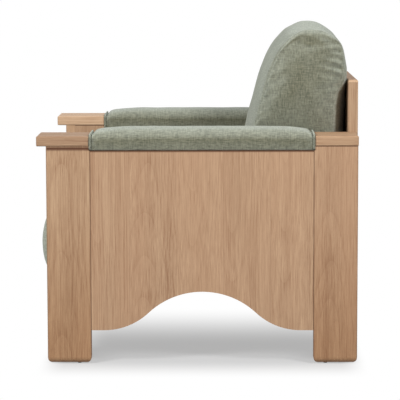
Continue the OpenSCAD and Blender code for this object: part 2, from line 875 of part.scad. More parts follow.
// Rings of the crowned top, of the bulging boxing and of the flat underside
seat_top_steps = [0.3, 0.55, 0.75, 0.88, 0.96];
seat_rings = concat(
    [for (s = seat_top_steps)
        seat_ring(seat_a * s, seat_b * s, seat_b * s, seat_z1 + seat_crown * (1 - pow(s, 2.5)))],
    [for (i = [0:6]) let (v = i / 6, bow = sin(180 * v))
        seat_ring(seat_a + seat_side_bulge * bow, seat_b + seat_front_bulge * bow,
                  seat_b + seat_side_bulge * bow, seat_z1 - seat_box_h * v)],
    [seat_ring(seat_a * 0.97, seat_b * 0.97, seat_b * 0.97, seat_z0)]);

module seat_form() {
    skin(seat_rings, [0, seat_mid, seat_top], [0, seat_mid, seat_z0]);
}

// Foam block with its own lower crown
core_inset = 8;
function crown_outline(half, z0, z1, crown) = concat(
    [[-half, z0], [half, z0]],
    [for (i = [0:12]) let (t = 1 - i / 6) [half * t, z1 + crown * (1 - t * t)]]);

module seat_core_form() {
    half = seat_a - core_inset;
    depth = seat_b - core_inset;
    z0 = seat_z0 + 3;
    intersection() {
        across_z(z0, seat_top) polygon([for (p = seat_ring(half, depth, depth, 0)) [p.x, p.y]]);
        across_y(seat_mid - depth, seat_mid + depth)
            polygon(crown_outline(half, z0, seat_z1 - 4, seat_crown * 0.7));
        across_x(-half, half) translate([seat_mid, 0])
            polygon(crown_outline(depth, z0, seat_z1 - 4, seat_crown * 0.7));
    }
}

module seat_cover() {
    color(sage) difference() {
        seat_form();
        seat_core_form();
    }
}

module seat_core() { color(foam) seat_core_form(); }

// Zip: two tapes, a raised coil and a slider, on a face that looks to +Y
zip_w = 24;
zip_t = 0.5;
zip_coil_w = 5;
zip_coil_t = 0.9;
module zip(y, z, half) {
    translate([0, y, z]) union() {
        block([-half, 0, -zip_w / 2], [half, zip_t, zip_w / 2]);
        block([-half + 4, 0, -zip_coil_w / 2], [half - 4, zip_coil_t, zip_coil_w / 2]);
        block([half - 24, 0, -4], [half - 12, zip_coil_t + 0.2, 4]);
    }
}

module seat_zip() {
    color(jute) zip(seat_rear + seat_side_bulge, seat_z1 - seat_box_h / 2, seat_a * 0.65);
}

// BACK CUSHION
// It stands on the seat cushion, leans on the back panel and slumps over the panel's top.

back_z0 = seat_top + clear;
back_limit = back_front - zip_room;
back_end_x = x_in - pad_bulge - back_side_gap - back_end_bulge;

// Side view at the end seams: distance ahead of the back panel as a share of the depth,
// and height as a share of the height, anticlockwise seen from the left
back_keys = [
    [0.9, 0], [0.97, 0.03], [0.98, 0.09], [0.935, 0.25], [0.875, 0.42], [0.81, 0.58],
    [0.742, 0.74], [0.66, 0.863], [0.567, 0.935], [0.44, 0.99], [0.3, 1], [0.185, 0.98],
    [0.095, 0.925], [0.035, 0.84], [0.014, 0.745], [0.076, 0.665], [0.122, 0.59], [0.14, 0.47],
    [0.155, 0.22], [0.165, 0.06], [0.21, 0.01], [0.5, 0]];
back_curve_n = 2;

// Smooth curve through a closed loop of points
function through(p, q, r, s, t) =
    0.5 * (2 * q + (r - p) * t + (2 * p - 5 * q + 4 * r - s) * t * t + (3 * q - p - 3 * r + s) * t * t * t);
function smooth_loop(keys, n) = let (m = len(keys))
    [for (i = [0:m - 1], k = [0:n - 1])
        through(keys[(i + m - 1) % m], keys[i], keys[(i + 1) % m], keys[(i + 2) % m], k / n)];

back_seam = [for (k = smooth_loop(back_keys, back_curve_n))
    [back_front - back_cushion_d * k.x, back_z0 + back_cushion_h * max(k.y, 0)]];
back_n = len(back_seam);
back_centre = [back_front - back_cushion_d * 0.5, back_z0 + back_cushion_h * 0.5];

// Direction out of the side view at a point of it
function seam_out(j) = let (d = back_seam[(j + 1) % back_n] - back_seam[(j + back_n - 1) % back_n])
    [-d.y, d.x] / norm(d);

// How far the cushion swells out of its end seams at mid width, by the way that it faces.
// The rear fills out against the back panel below the panel's top, and not above it.
back_rear_crown = 42;
back_top_crown = 16;
fill_run = 48;
function rear_fill(z) = min(1, max(0, 0.5 + (back_h - z) / (2 * fill_run)));
function swell(out, z) = out.x < 0
    ? back_top_crown * pow(max(out.y, 0), 3) + back_crown * pow(-out.x, 3)
    : back_top_crown * pow(max(out.y, 0), 6) + back_rear_crown * out.x * rear_fill(z);

// One ring across the cushion at x
function back_ring(x) = let (share = 1 - pow(abs(x) / back_end_x, 2.4))
    [for (j = [0:back_n - 1])
        let (out = seam_out(j), p = back_seam[j] + swell(out, back_seam[j].y) * share * out)
        [x, min(p.x, back_limit), max(p.y, back_z0)]];

// One ring of an end panel, drawn in towards its middle
function end_ring(side, s) = [for (p = back_seam) let (q = back_centre + s * (p - back_centre))
    [side * (back_end_x + back_end_bulge * (1 - s * s)), q.x, q.y]];

module back_form() {
    steps = [-1, -0.9, -0.72, -0.45, 0, 0.45, 0.72, 0.9, 1];
    skin(concat([for (s = [0.35, 0.65, 0.88]) end_ring(-1, s)],
                [for (u = steps) back_ring(u * back_end_x)],
                [for (s = [0.88, 0.65, 0.35]) end_ring(1, s)]),
         [-back_end_x - back_end_bulge, back_centre.x, back_centre.y],
         [back_end_x + back_end_bulge, back_centre.x, back_centre.y]);
}

module back_core_form() {
    across_x(-back_end_x * 0.955, back_end_x * 0.955)
        polygon([for (p = back_seam) back_centre + 0.93 * (p - back_centre)]);
}

module back_cover() {
    color(sage) difference() {
        back_form();
        back_core_form();
    }
}

module back_core() { color(foam) back_core_form(); }

module back_zip() {
    color(jute) zip(back_limit, back_z0 + back_cushion_h * 0.3, back_end_x * 0.44);
}

front_post_left();
front_post_right();
front_face_left();
front_face_right();
rear_post_left();
rear_post_right();
rear_face_left();
rear_face_right();
side_panel_left();
side_panel_right();
inner_panel_left();
inner_panel_right();
mitre_splines();
front_cap_left();
front_cap_right();
rear_cap_left();
rear_cap_right();
cap_dowels();
panel_dowels();
arm_core_left();
arm_core_right();
arm_cleats();
cleat_screws();
arm_foam_left();
arm_foam_right();
arm_cover_left();
arm_cover_right();
arm_welt_left();
arm_welt_right();
back_panel();
back_dowels();
front_rail();
rear_rail();
back_screws();
seat_bearer_left();
seat_bearer_right();
bearer_screws();
corner_blocks();
block_screws();
frame_bolts();
barrel_nuts();
webbing_long();
webbing_cross();
webbing_staples();
floor_glides();
seat_cover();
seat_core();
seat_zip();
back_cover();
back_core();
back_zip();
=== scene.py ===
import math

import bmesh
import bpy
import numpy as np
from bpy.props import FloatProperty, FloatVectorProperty, PointerProperty
from bpy.types import Operator, Panel, PropertyGroup
from mathutils import Matrix, Vector


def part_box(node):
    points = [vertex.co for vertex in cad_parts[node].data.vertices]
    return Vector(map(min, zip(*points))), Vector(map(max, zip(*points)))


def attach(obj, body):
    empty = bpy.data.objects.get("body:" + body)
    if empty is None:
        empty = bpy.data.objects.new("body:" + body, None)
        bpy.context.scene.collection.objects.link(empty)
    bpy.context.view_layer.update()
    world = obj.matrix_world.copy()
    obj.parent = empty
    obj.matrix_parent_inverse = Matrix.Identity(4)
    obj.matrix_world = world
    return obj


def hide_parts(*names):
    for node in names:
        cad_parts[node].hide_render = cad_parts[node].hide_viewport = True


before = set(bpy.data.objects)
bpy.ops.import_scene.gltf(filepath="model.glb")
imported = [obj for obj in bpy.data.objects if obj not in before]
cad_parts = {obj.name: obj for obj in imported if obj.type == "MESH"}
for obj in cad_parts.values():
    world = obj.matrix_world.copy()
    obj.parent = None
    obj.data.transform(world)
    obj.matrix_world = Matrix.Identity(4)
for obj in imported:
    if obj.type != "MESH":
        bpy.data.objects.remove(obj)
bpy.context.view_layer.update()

bl_info = {
    "name": "Oak Lounge Chair",
    "version": (1, 0, 0),
    "blender": (4, 5, 0),
    "location": "View3D > Sidebar > Chair",
    "description": "Dresses an oak lounge chair: boards, arm pads, loose cushions, piping, zips and stage",
    "category": "Object",
}

SIDES = (("left", 1), ("right", -1))
CLOTH_UV = "cloth"


def size(name, description, default, low=0.0):
    """A length that a user may change, in metres."""
    return FloatProperty(name=name, description=description, default=default, min=low,
                         subtype="DISTANCE", unit="LENGTH", precision=4)


def colour(name, description, default):
    """A colour that a user may change."""
    return FloatVectorProperty(name=name, description=description, default=default,
                               subtype="COLOR", size=3, min=0.0, max=1.0)


class ChairSizes(PropertyGroup):
    """Sizes of the soft parts and of the fine detail"""

    seam_height: size("Back cushion height", "Height of the back cushion at its end seams", 0.436)
    seam_depth: size("Back cushion depth", "Depth of the back cushion at its foot", 0.274)
    end_bulge: size("End bulge", "How far each end panel of the back cushion stands out by the arms", 0.009)
    end_crown: size("End crown", "How much further each end panel stands out above the arms", 0.023)
    front_crown: size("Front crown", "Crown of the back cushion's front between its seams", 0.0175)
    top_crown: size("Top crown", "Crown of the back cushion's top between its seams", 0.0225)
    rear_crown: size("Rear crown", "Crown of the back cushion's rear below the back panel's top", 0.042)
    fill: size("Fill", "How far the cloth of a cushion fills out under pressure", 0.004)
    seat_boxing: size("Seat boxing", "Height of the seat cushion's boxing", 0.163)
    seat_front_bulge: size("Front bulge", "Bulge of the seat cushion's front boxing", 0.0165)
    seat_side_bulge: size("Side bulge", "Bulge of the seat cushion's other boxing", 0.0055)
    pad_neck: size("Pad neck", "Length of the narrow neck at each end of an arm pad", 0.0075)
    pad_swell: size("Pad swell", "Length over which an arm pad reaches its full height", 0.105)
    pad_rise: size("Pad rise", "Length of the steep first part of that swell", 0.020)
    pad_fill: size("Pad fill", "How far the cloth of an arm pad fills out under pressure", 0.0025)
    welt: size("Piping", "Diameter of the piping on the arm pads", 0.005)
    cell: size("Cloth cell", "Size of one cell of the soft parts' meshes", 0.009, 0.004)
    groove: size("Seam groove", "Depth of the groove along a seam", 0.0022)
    yarn: size("Yarn", "Distance from one yarn of the upholstery weave to the next", 0.0016)
    stitch: size("Stitch", "Length of one stitch with its gap", 0.006, 0.002)
    tooth: size("Zip tooth", "Distance from one tooth of a zip to the next", 0.0028, 0.001)


class ChairColours(PropertyGroup):
    """Colours of the timber, the cloth and the floor"""

    oak_light: colour("Oak, light", "Early wood of the oak", (0.505, 0.333, 0.205))
    oak_dark: colour("Oak, dark", "Late wood and pores of the oak", (0.255, 0.134, 0.070))
    beech: colour("Beech", "Hidden timber of the seat frame", (0.62, 0.43, 0.26))
    cloth_light: colour("Cloth, light", "Light yarns of the upholstery", (0.272, 0.265, 0.180))
    # Colour of the painted sheen where the cloth turns away
    cloth_sheen: colour("Cloth, nap", "Fibres that show where the cloth turns away", (0.480, 0.512, 0.432))
    cloth_dark: colour("Cloth, dark", "Dark yarns of the upholstery", (0.040, 0.043, 0.026))
    floor: colour("Floor", "Colour of the floor", (0.93, 0.93, 0.93))


def sizes():
    return bpy.context.scene.chair_sizes


def colours():
    return bpy.context.scene.chair_colours


# Shader building

class Value:
    """An output in a node tree, which takes part in plain arithmetic where it is a number."""

    def __init__(self, socket):
        self.socket = socket

    def step(self, operation, other=0.0, after=False):
        """One arithmetic step with another number, or after it."""
        pair = (other, self) if after else (self, other)
        return Value(node(self.socket.id_data, "ShaderNodeMath", dict(enumerate(pair)),
                          operation=operation).outputs[0])

    def __add__(self, other):
        return self.step("ADD", other)

    def __sub__(self, other):
        return self.step("SUBTRACT", other)

    def __rsub__(self, other):
        return self.step("SUBTRACT", other, after=True)

    def __mul__(self, other):
        return self.step("MULTIPLY", other)

    def __truediv__(self, other):
        return self.step("DIVIDE", other)

    def __pow__(self, other):
        return self.step("POWER", other)

    def __abs__(self):
        return self.step("ABSOLUTE")


def feed(tree, value, socket):
    """Links a socket to what feeds it, or sets its value."""
    if isinstance(value, Value):
        value = value.socket
    if isinstance(value, bpy.types.NodeSocket):
        tree.links.new(value, socket)
    elif socket.type == "RGBA":
        socket.default_value = (*value[:3], 1.0)
    else:
        socket.default_value = value


def node(tree, kind, inputs=None, **settings):
    """Adds a node, with its settings, and sets or links its inputs."""
    made = tree.nodes.new(kind)
    for name, value in settings.items():
        setattr(made, name, value)
    for key, value in (inputs or {}).items():
        feed(tree, value, made.inputs[key])
    return made


def object_place(tree):
    """A place on the chair, in metres."""
    return node(tree, "ShaderNodeTexCoord").outputs["Object"]


def separate(tree, source):
    """The three parts of a vector."""
    return [Value(part) for part in node(tree, "ShaderNodeSeparateXYZ", {0: source}).outputs]


def vector(tree, x=0.0, y=0.0, z=0.0):
    """A vector of three numbers."""
    return node(tree, "ShaderNodeCombineXYZ", {0: x, 1: y, 2: z}).outputs[0]


def shifted(tree, source, by):
    """A vector plus another."""
    return node(tree, "ShaderNodeVectorMath", {0: source, 1: by}, operation="ADD").outputs[0]


def scaled(tree, source, factors):
    """A vector times three factors."""
    return node(tree, "ShaderNodeVectorMath", {0: source, 1: factors}, operation="MULTIPLY").outputs[0]


def noise(tree, source, factors=None, detail=2.0, roughness=0.5, output="Fac"):
    """Noise over a vector, which is scaled first where factors are given."""
    place = scaled(tree, source, factors) if factors else source
    made = node(tree, "ShaderNodeTexNoise",
                {"Vector": place, "Scale": 1.0, "Detail": detail, "Roughness": roughness})
    return Value(made.outputs[output])


def blend(tree, share, a, b, mode="MIX"):
    """A mix of two colours."""
    made = node(tree, "ShaderNodeMix", {0: share, 6: a, 7: b}, data_type="RGBA", blend_type=mode)
    return made.outputs[2]


def either(tree, share, a, b):
    """A mix of two numbers."""
    return Value(node(tree, "ShaderNodeMix", {0: share, 2: a, 3: b}, data_type="FLOAT").outputs[0])


def tone(tree, source, low, high):
    """A number stretched between two bounds, without going past 0 or 1."""
    return Value(node(tree, "ShaderNodeMapRange", {0: source, 1: low, 2: high}).outputs[0])


def dimmed(shade, factors):
    """A colour times one factor or three, kept within what a surface can have."""
    return tuple(np.clip(np.multiply(shade, factors), 0, 1))


def material(name):
    """A new material with an empty tree and its surface shader."""
    made = bpy.data.materials.new(name)
    made.use_nodes = True
    tree = made.node_tree
    tree.nodes.clear()
    shader = node(tree, "ShaderNodeBsdfPrincipled")
    node(tree, "ShaderNodeOutputMaterial", {"Surface": shader.outputs[0]})
    return made, tree, shader


def finish_shader(tree, shader, ground, relief, distance, strength, **values):
    """Gives a shader its colour and relief, and its other values by their sockets' names."""
    feed(tree, ground, shader.inputs["Base Color"])
    for name, value in values.items():
        feed(tree, value, shader.inputs[name.replace("_", " ")])
    bump = node(tree, "ShaderNodeBump", {"Height": relief, "Strength": strength, "Distance": distance})
    feed(tree, bump.outputs[0], shader.inputs["Normal"])


# Timber: how far the grain leans in a board and how far it wanders, the distance between its year rings,
# and the width of the line where two staves meet
LEAN = 0.07
WANDER = 0.016
YEAR_RING = 0.0034
STAVE_LINE = 0.0007
# The pith lies this far behind a stave, and at most so much further; in a plain board it lies at a place
PITH, PITH_MORE, BOARD_PITH = 0.100, 0.20, (-0.03, 0.02)
# What the year rings and the board's own tone give to how dark the timber is, and how strongly the end
# grain darkens it, a warmer tone clouds it and the line between two staves shows
RING_SHARE, BOARD_SHARE = 0.15, 0.14
END_SHARE, WARM_SHARE, STAVE_SHARE = 0.45, 0.35, 0.30
# Numbers that set one board's random values apart from another's
SIDE_KEY, OTHER_KEY = 17.0, 4.6
# Layers of the grain: how fine each is across and along it, its detail and roughness, the tones that it
# spans, and its share in the darkness of the timber
GRAIN_LAYERS = {
    "broad": (36.0, 0.9, 2.0, 0.55, 0.30, 0.70, 0.24),
    "streak": (260.0, 1.5, 2.0, 0.60, 0.34, 0.66, 0.22),
    "hair": (620.0, 3.0, 2.0, 0.60, 0.40, 0.68, 0.42),
    "fine": (800.0, 22.0, 2.0, 0.60, 0.30, 0.70, 0.30),
    "pores": (1700.0, 55.0, 1.0, 0.50, 0.60, 0.72, 0.20)}
# Painted shade at a post's foot: from which height down it darkens, where it is darkest, and its colour
# there
FOOT_FADE = (0.42, 0.05)
FOOT_SHADE = (0.83, 0.75, 0.66)
# A panel between its paler lips
# The back panel away from its ends, which stay paler: painted light on the ends that catch the light
FIELD_SHADE = (0.82, 0.78, 0.76)
# Colour of the darkened lines: dark joints, and painted shadows under the caps and pads
LINE_SHADE = (0.30, 0.19, 0.12)


def timber(name, grain, light, dark, stave=None, figure=1.0, tint=1.0, lines=(), foot=0.0, lit_end=None):
    """Timber with its grain along one axis, in staves across another where it is a wide panel.

    Each line is an axis, a place on it, a width and a strength: a darkened line, for dark joints and for
    painted shadows under overhangs.
    A post also darkens towards its foot with painted shade, and a panel may have paler ends, painted light,
    from a distance off its middle.
    """
    made, tree, shader = material(name)
    light, dark = dimmed(light, tint), dimmed(dark, tint)
    axis = separate(tree, object_place(tree))
    across = [i for i in range(3) if i != grain]
    # Each side of the chair, and each stave, is a board of its own
    key = axis[0].step("GREATER_THAN") * SIDE_KEY
    joint = None
    if stave:
        stave_axis, first, width = stave
        count = (axis[stave_axis] - (first - 20 * width)) / width
        key = key + count.step("FLOOR")
        middle = count.step("FRACT") - 0.5
        joint = tone(tree, abs(middle), 0.5 - STAVE_LINE / width, 0.5)
    random, other = (node(tree, "ShaderNodeTexWhiteNoise", {"W": number}, noise_dimensions="1D").outputs
                     for number in (key, key + OTHER_KEY))
    lean = axis[grain] * ((Value(random["Value"]) - 0.5) * LEAN)
    board = vector(tree, *(axis[i] for i in (*across, grain)))
    board = shifted(tree, board, shifted(tree, scaled(tree, random["Color"], (0.05, 0.05, 2.0)),
                                         vector(tree, lean)))
    wander = shifted(tree, noise(tree, board, (4.0, 4.0, 1.9), output="Color"), (-0.5, -0.5, -0.5))
    bent = shifted(tree, board, scaled(tree, wander, (WANDER, WANDER, 0.0)))
    trunk = separate(tree, bent)
    if stave:
        # Distance from the pith, which lies behind the middle of the stave
        wide = across.index(stave_axis)
        depth = (Value(other["Value"]) ** 2.0 * PITH_MORE + PITH
                 + (trunk[1 - wide] - axis[across[1 - wide]]))
        off = middle * (width * 0.9) + (trunk[wide] - axis[stave_axis])
    else:
        depth, off = (trunk[i] - BOARD_PITH[i] for i in range(2))
    radius = (depth ** 2.0 + off ** 2.0).step("SQRT")
    share = (1.0 - (radius / YEAR_RING).step("FRACT")) ** 4.0 * (RING_SHARE * figure)
    raw, clear = {}, {}
    for layer, (fine, long, detail, rough, low, high, weight) in GRAIN_LAYERS.items():
        raw[layer] = noise(tree, bent, (fine, fine, long), detail, rough)
        clear[layer] = tone(tree, raw[layer], low, high)
        share = share + clear[layer] * (weight * figure if layer == "broad" else weight)
    share = tone(tree, share + Value(random["Value"]) * BOARD_SHARE, 0.2, 1.15)
    ground = blend(tree, share, light, dark)
    warmth = tone(tree, noise(tree, bent, (9.0, 9.0, 0.8), 1.0), 0.35, 0.7)
    ground = blend(tree, warmth * WARM_SHARE, ground, dimmed(light, (0.92, 0.82, 0.78)))
    face = separate(tree, node(tree, "ShaderNodeNewGeometry").outputs["True Normal"])
    ground = blend(tree, tone(tree, abs(face[grain]), 0.6, 0.95) * END_SHARE, ground, dark)
    # Painted shade, deepening towards the floor
    if foot:
        ground = blend(tree, tone(tree, axis[2], *FOOT_FADE) * foot, ground, FOOT_SHADE, "MULTIPLY")
    # Paler ends of a panel: painted light
    if lit_end:
        ground = blend(tree, tone(tree, abs(axis[0]), lit_end, lit_end - 0.0004), ground, FIELD_SHADE, "MULTIPLY")
    shade = dimmed(dark, LINE_SHADE)
    if joint is not None:
        ground = blend(tree, joint * STAVE_SHARE, ground, shade)
    # Darkened lines: dark joints, and painted shadows under the caps and pads
    for line_axis, at, width, strength in lines:
        mark = tone(tree, abs(axis[line_axis] - at), width, width * 0.2)
        ground = blend(tree, mark * strength, ground, shade)
    finish_shader(tree, shader, ground, clear["pores"] * -1.0 + raw["hair"] * -0.6, 0.0004, 0.35,
                  Roughness=tone(tree, share, -1.6, 1.9), Specular_IOR_Level=0.35)
    return made


# Upholstery: how often a yarn changes its tone along its length, and what each part of the weave gives
# to how light a place is
SLUB = 30.0
YARN_SHARE, FLECK_SHARE, HATCH_SHARE, PATCH_SHARE = 0.30, 0.22, 0.34, 0.10
# The sheen of the nap, painted into the base colour where the cloth turns away: how soon it comes and how
# strong it grows
NAP_POWER, NAP_SHARE = 0.46, 0.67


def upholstery(name, yarn, light, dark, nap):
    """Slubby plain weave: every yarn has its own tone, which changes along it."""
    made, tree, shader = material(name)
    cloth = node(tree, "ShaderNodeUVMap", uv_map=CLOTH_UV).outputs[0]
    flat = separate(tree, cloth)
    u, v = flat[0] / yarn, flat[1] / yarn
    column, row = u.step("FLOOR"), v.step("FLOOR")
    over = (column + row).step("PINGPONG", 1.0)
    warp = noise(tree, vector(tree, column * 3.17, flat[1] * SLUB), detail=3.0, roughness=0.65)
    weft = noise(tree, vector(tree, flat[0] * SLUB, row * 3.17, 7.7), detail=3.0, roughness=0.65)
    mixed = either(tree, over, warp, weft)
    fleck = noise(tree, cloth, (240.0, 110.0, 1.0), roughness=0.6)
    patch = noise(tree, cloth, (9.0, 9.0, 1.0))
    hatch = noise(tree, cloth, (390.0, 44.0, 1.0)) + noise(tree, cloth, (44.0, 390.0, 1.0))
    share = (tone(tree, mixed, 0.28, 0.72) * YARN_SHARE + tone(tree, fleck, 0.36, 0.64) * FLECK_SHARE
             + tone(tree, hatch, 0.78, 1.22) * HATCH_SHARE + tone(tree, patch, 0.3, 0.7) * PATCH_SHARE)
    crest = either(tree, over, *(abs((run * math.pi).step("SINE")) for run in (u, v)))
    # Each yarn darkens towards its edges: painted shade between the yarns
    ground = blend(tree, share * tone(tree, crest, -1.3, 0.9), dark, light)
    # Painted sheen: the base colour turns paler where the cloth turns away from the view
    facing = Value(node(tree, "ShaderNodeLayerWeight", {"Blend": 0.5}).outputs["Facing"])
    painted_sheen = blend(tree, tone(tree, share, 0.15, 0.85), dimmed(nap, 0.62), dimmed(nap, 1.36))
    finish_shader(tree, shader, blend(tree, facing ** NAP_POWER * NAP_SHARE, ground, painted_sheen),
                  crest * 0.7 + mixed * 0.9, 0.0005, 0.55, Roughness=0.88, Specular_IOR_Level=0.2,
                  Sheen_Weight=0.25, Sheen_Roughness=0.5, Sheen_Tint=(0.90, 0.96, 0.94))
    return made


def plain(name, base, roughness, metallic=0.0, grain=(300.0, 300.0, 300.0), contrast=0.15, depth=0.0002):
    """A finish with a fine speckle in its colour and its relief."""
    made, tree, shader = material(name)
    speckle = noise(tree, object_place(tree), grain, 3.0, 0.6)
    ground = blend(tree, tone(tree, speckle, 0.3, 0.7), dimmed(base, 1 - contrast),
                   dimmed(base, 1 + contrast))
    finish_shader(tree, shader, ground, speckle, depth, 0.4, Roughness=roughness, Metallic=metallic)
    return made


def plywood(name, light, dark, ply):
    """Veneers glued in layers, with the layers one above another."""
    made, tree, shader = material(name)
    place = object_place(tree)
    layer = (separate(tree, place)[2] / ply).step("PINGPONG", 1.0)
    grain = noise(tree, place, (260.0, 9.0, 260.0), 3.0)
    ground = blend(tree, tone(tree, layer, 0.4, 0.6) * 0.5 + grain * 0.4, light, dark)
    finish_shader(tree, shader, ground, grain, 0.0003, 0.4, Roughness=0.7)
    return made


# Webbing: its width, and the distance from one of its threads to the next
STRAP = 0.06
THREAD = 0.0022


def webbing(name, along, pitch, width, base, stripe):
    """Jute webbing with a coarse weave and two woven stripes near its edges."""
    made, tree, shader = material(name)
    place = object_place(tree)
    axis = separate(tree, place)
    side = 1 - along
    turn = ((axis[side] - pitch[0]) / pitch[1] + 0.5).step("FRACT") - 0.5
    line = abs(abs(turn) * pitch[1] - width * 0.32).step("LESS_THAN", 0.0016)
    rib, rib_across = (abs((axis[i] * (math.pi / THREAD)).step("SINE")) for i in (along, side))
    hair = noise(tree, place, (500.0, 500.0, 500.0), 3.0)
    # The threads darken between their crests: painted shade between the threads
    ground = blend(tree, rib * 0.5 + hair * 0.5, dimmed(base, 0.6), base)
    finish_shader(tree, shader, blend(tree, line, ground, stripe), rib + rib_across, 0.0005, 0.6,
                  Roughness=0.95)
    return made


def dress(made, *names):
    """Gives CAD nodes a material."""
    for name in names:
        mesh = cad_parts[name].data
        mesh.materials.clear()
        mesh.materials.append(made)


def cloth_material():
    """The upholstery cloth, which all the soft pieces share."""
    found = bpy.data.materials.get("sage_slub_weave")
    if found:
        return found
    chosen = colours()
    return upholstery("sage_slub_weave", sizes().yarn, tuple(chosen.cloth_light), tuple(chosen.cloth_dark),
                      tuple(chosen.cloth_sheen))


# Mesh building

def add_object(name, data):
    """Puts a new object in the scene."""
    obj = bpy.data.objects.new(name, data)
    bpy.context.scene.collection.objects.link(obj)
    return obj


def add_worked(name, work):
    """Puts a mesh that was worked on in the scene as a new object."""
    mesh = bpy.data.meshes.new(name)
    work.to_mesh(mesh)
    work.free()
    return add_object(name, mesh)


def apply_modifiers(obj):
    """Makes an object's evaluated form its plain mesh."""
    done = obj.evaluated_get(bpy.context.evaluated_depsgraph_get())
    mesh = bpy.data.meshes.new_from_object(done)
    obj.modifiers.clear()
    old, obj.data = obj.data, mesh
    bpy.data.meshes.remove(old)
    mesh.name = obj.name


class Shell:
    """A closed skin that is put together from grids, with the cloth's own flat measure on every face."""

    def __init__(self):
        self.points = []
        self.faces = []
        self.cloth = []

    def add(self, points):
        """Adds points and returns their numbers in the same arrangement."""
        points = np.asarray(points, float)
        flat = points.reshape(-1, 3)
        first = len(self.points)
        self.points.extend(flat)
        return np.arange(first, first + len(flat)).reshape(points.shape[:-1])

    def grid(self, numbers, cloth, flip=False):
        """Adds the faces of a grid of point numbers, with the cloth measure at each."""
        rows, columns = numbers.shape
        for i in range(rows - 1):
            for j in range(columns - 1):
                corners = [(i, j), (i, j + 1), (i + 1, j + 1), (i + 1, j)]
                if flip:
                    corners.reverse()
                self.faces.append([int(numbers[c]) for c in corners])
                self.cloth.append([tuple(cloth[c]) for c in corners])

    def wrap(self, rings, u, v, flip=False):
        """Adds closed rings of points with the faces between them, and returns the points' numbers."""
        numbers = self.add(rings)
        closed = np.column_stack([numbers, numbers[:, 0]])
        self.grid(closed, np.stack(np.broadcast_arrays(u, v), -1), flip)
        return numbers

    def close(self, ring, counts, plane, shape=None, flip=False):
        """Closes a ring with a panel that a function may shape, and whose cloth lies along two axes."""
        grid = patch(np.array([self.points[i] for i in ring]), *counts)
        if shape:
            shape(grid)
        self.grid(patch_numbers(self, grid, ring), grid[:, :, plane], flip)

    def build(self, name):
        """Makes the skin an object."""
        mesh = bpy.data.meshes.new(name)
        mesh.from_pydata([tuple(p) for p in self.points], [], self.faces)
        layer = mesh.uv_layers.new(name=CLOTH_UV)
        flat = [uv for face in self.cloth for uv in face]
        layer.data.foreach_set("uv", np.array(flat, np.float32).ravel())
        obj = add_object(name, mesh)
        face_outwards(obj)
        smooth_faces(obj)
        return obj


def smooth_faces(obj):
    """Shades an object's faces as one smooth surface."""
    obj.data.polygons.foreach_set("use_smooth", [True] * len(obj.data.polygons))


def face_outwards(obj):
    """Turns every face of a closed skin to its outside."""
    work = bmesh.new()
    work.from_mesh(obj.data)
    bmesh.ops.recalc_face_normals(work, faces=work.faces)
    work.to_mesh(obj.data)
    work.free()


def smooth_loop(keys, steps):
    """Smooth curve through a closed loop of points."""
    p = np.asarray(keys, float)
    before, after, last = np.roll(p, 1, 0), np.roll(p, -1, 0), np.roll(p, -2, 0)
    out = []
    for t in np.arange(steps) / steps:
        out.append(0.5 * (2 * p + (after - before) * t + (2 * before - 5 * p + 4 * after - last) * t * t
                          + (3 * p - before - 3 * after + last) * t ** 3))
    return np.stack(out, 1).reshape(-1, p.shape[1])


def even_loop(points, count):
    """Points at even distances round a closed loop, and the loop's length."""
    closed = np.vstack([points, points[:1]])
    run = np.concatenate([[0.0], np.cumsum(np.linalg.norm(np.diff(closed, axis=0), axis=1))])
    at = np.arange(count) / count * run[-1]
    return np.stack([np.interp(at, run, closed[:, k]) for k in range(closed.shape[1])], 1), run[-1]


def loop_outwards(loop):
    """Unit directions out of a flat anticlockwise or clockwise loop, in its plane."""
    step = np.roll(loop, -1, 0) - np.roll(loop, 1, 0)
    out = np.stack([-step[:, 1], step[:, 0]], 1)
    out /= np.linalg.norm(out, axis=1)[:, None]
    centre = loop.mean(0)
    if ((loop - centre) * out).sum() < 0:
        out = -out
    return out


def patch(loop, long_count, short_count):
    """A grid of points inside a closed loop, which has twice the sum of the two counts as points."""
    n = len(loop)
    a, b = long_count, short_count
    side0 = loop[0:a + 1]
    side1 = loop[a:a + b + 1]
    side2 = loop[a + b:2 * a + b + 1][::-1]
    side3 = np.vstack([loop[2 * a + b:n], loop[:1]])[::-1]
    s = np.linspace(0, 1, a + 1)[None, :, None]
    t = np.linspace(0, 1, b + 1)[:, None, None]
    corner = [side0[0], side0[-1], side2[0], side2[-1]]
    return ((1 - t) * side0[None] + t * side2[None] + (1 - s) * side3[:, None] + s * side1[:, None]
            - (1 - s) * (1 - t) * corner[0] - s * (1 - t) * corner[1]
            - (1 - s) * t * corner[2] - s * t * corner[3])


def patch_numbers(shell, grid, ring):
    """Point numbers of a patch whose border is a ring of points that the shell already has."""
    rows, columns = grid.shape[:2]
    numbers = np.zeros((rows, columns), int)
    numbers[1:-1, 1:-1] = shell.add(grid[1:-1, 1:-1])
    a, b, n = columns - 1, rows - 1, len(ring)
    numbers[0, :] = ring[0:a + 1]
    numbers[:, -1] = ring[a:a + b + 1]
    numbers[-1, ::-1] = ring[a + b:2 * a + b + 1]
    numbers[::-1, 0] = np.append(ring[2 * a + b:n], ring[0])
    return numbers


def pillow(rows, columns, power):
    """From 0 at the border of a grid to 1 in its middle."""
    p = np.linspace(-1, 1, rows)[:, None]
    q = np.linspace(-1, 1, columns)[None, :]
    return ((1 - np.abs(p) ** power) * (1 - np.abs(q) ** power)) ** 0.6


def coordinates(obj):
    """The places of an object's points."""
    co = np.empty(len(obj.data.vertices) * 3)
    obj.data.vertices.foreach_get("co", co)
    return co.reshape(-1, 3)


def set_coordinates(obj, points):
    """Moves an object's points to new places."""
    obj.data.vertices.foreach_set("co", np.asarray(points, float).ravel())
    obj.data.update()


def normals(obj):
    """The outward direction at each of an object's points."""
    out = np.empty(len(obj.data.vertices) * 3)
    obj.data.vertex_normals.foreach_get("vector", out)
    return out.reshape(-1, 3)


CLOTH_FRAMES = 20


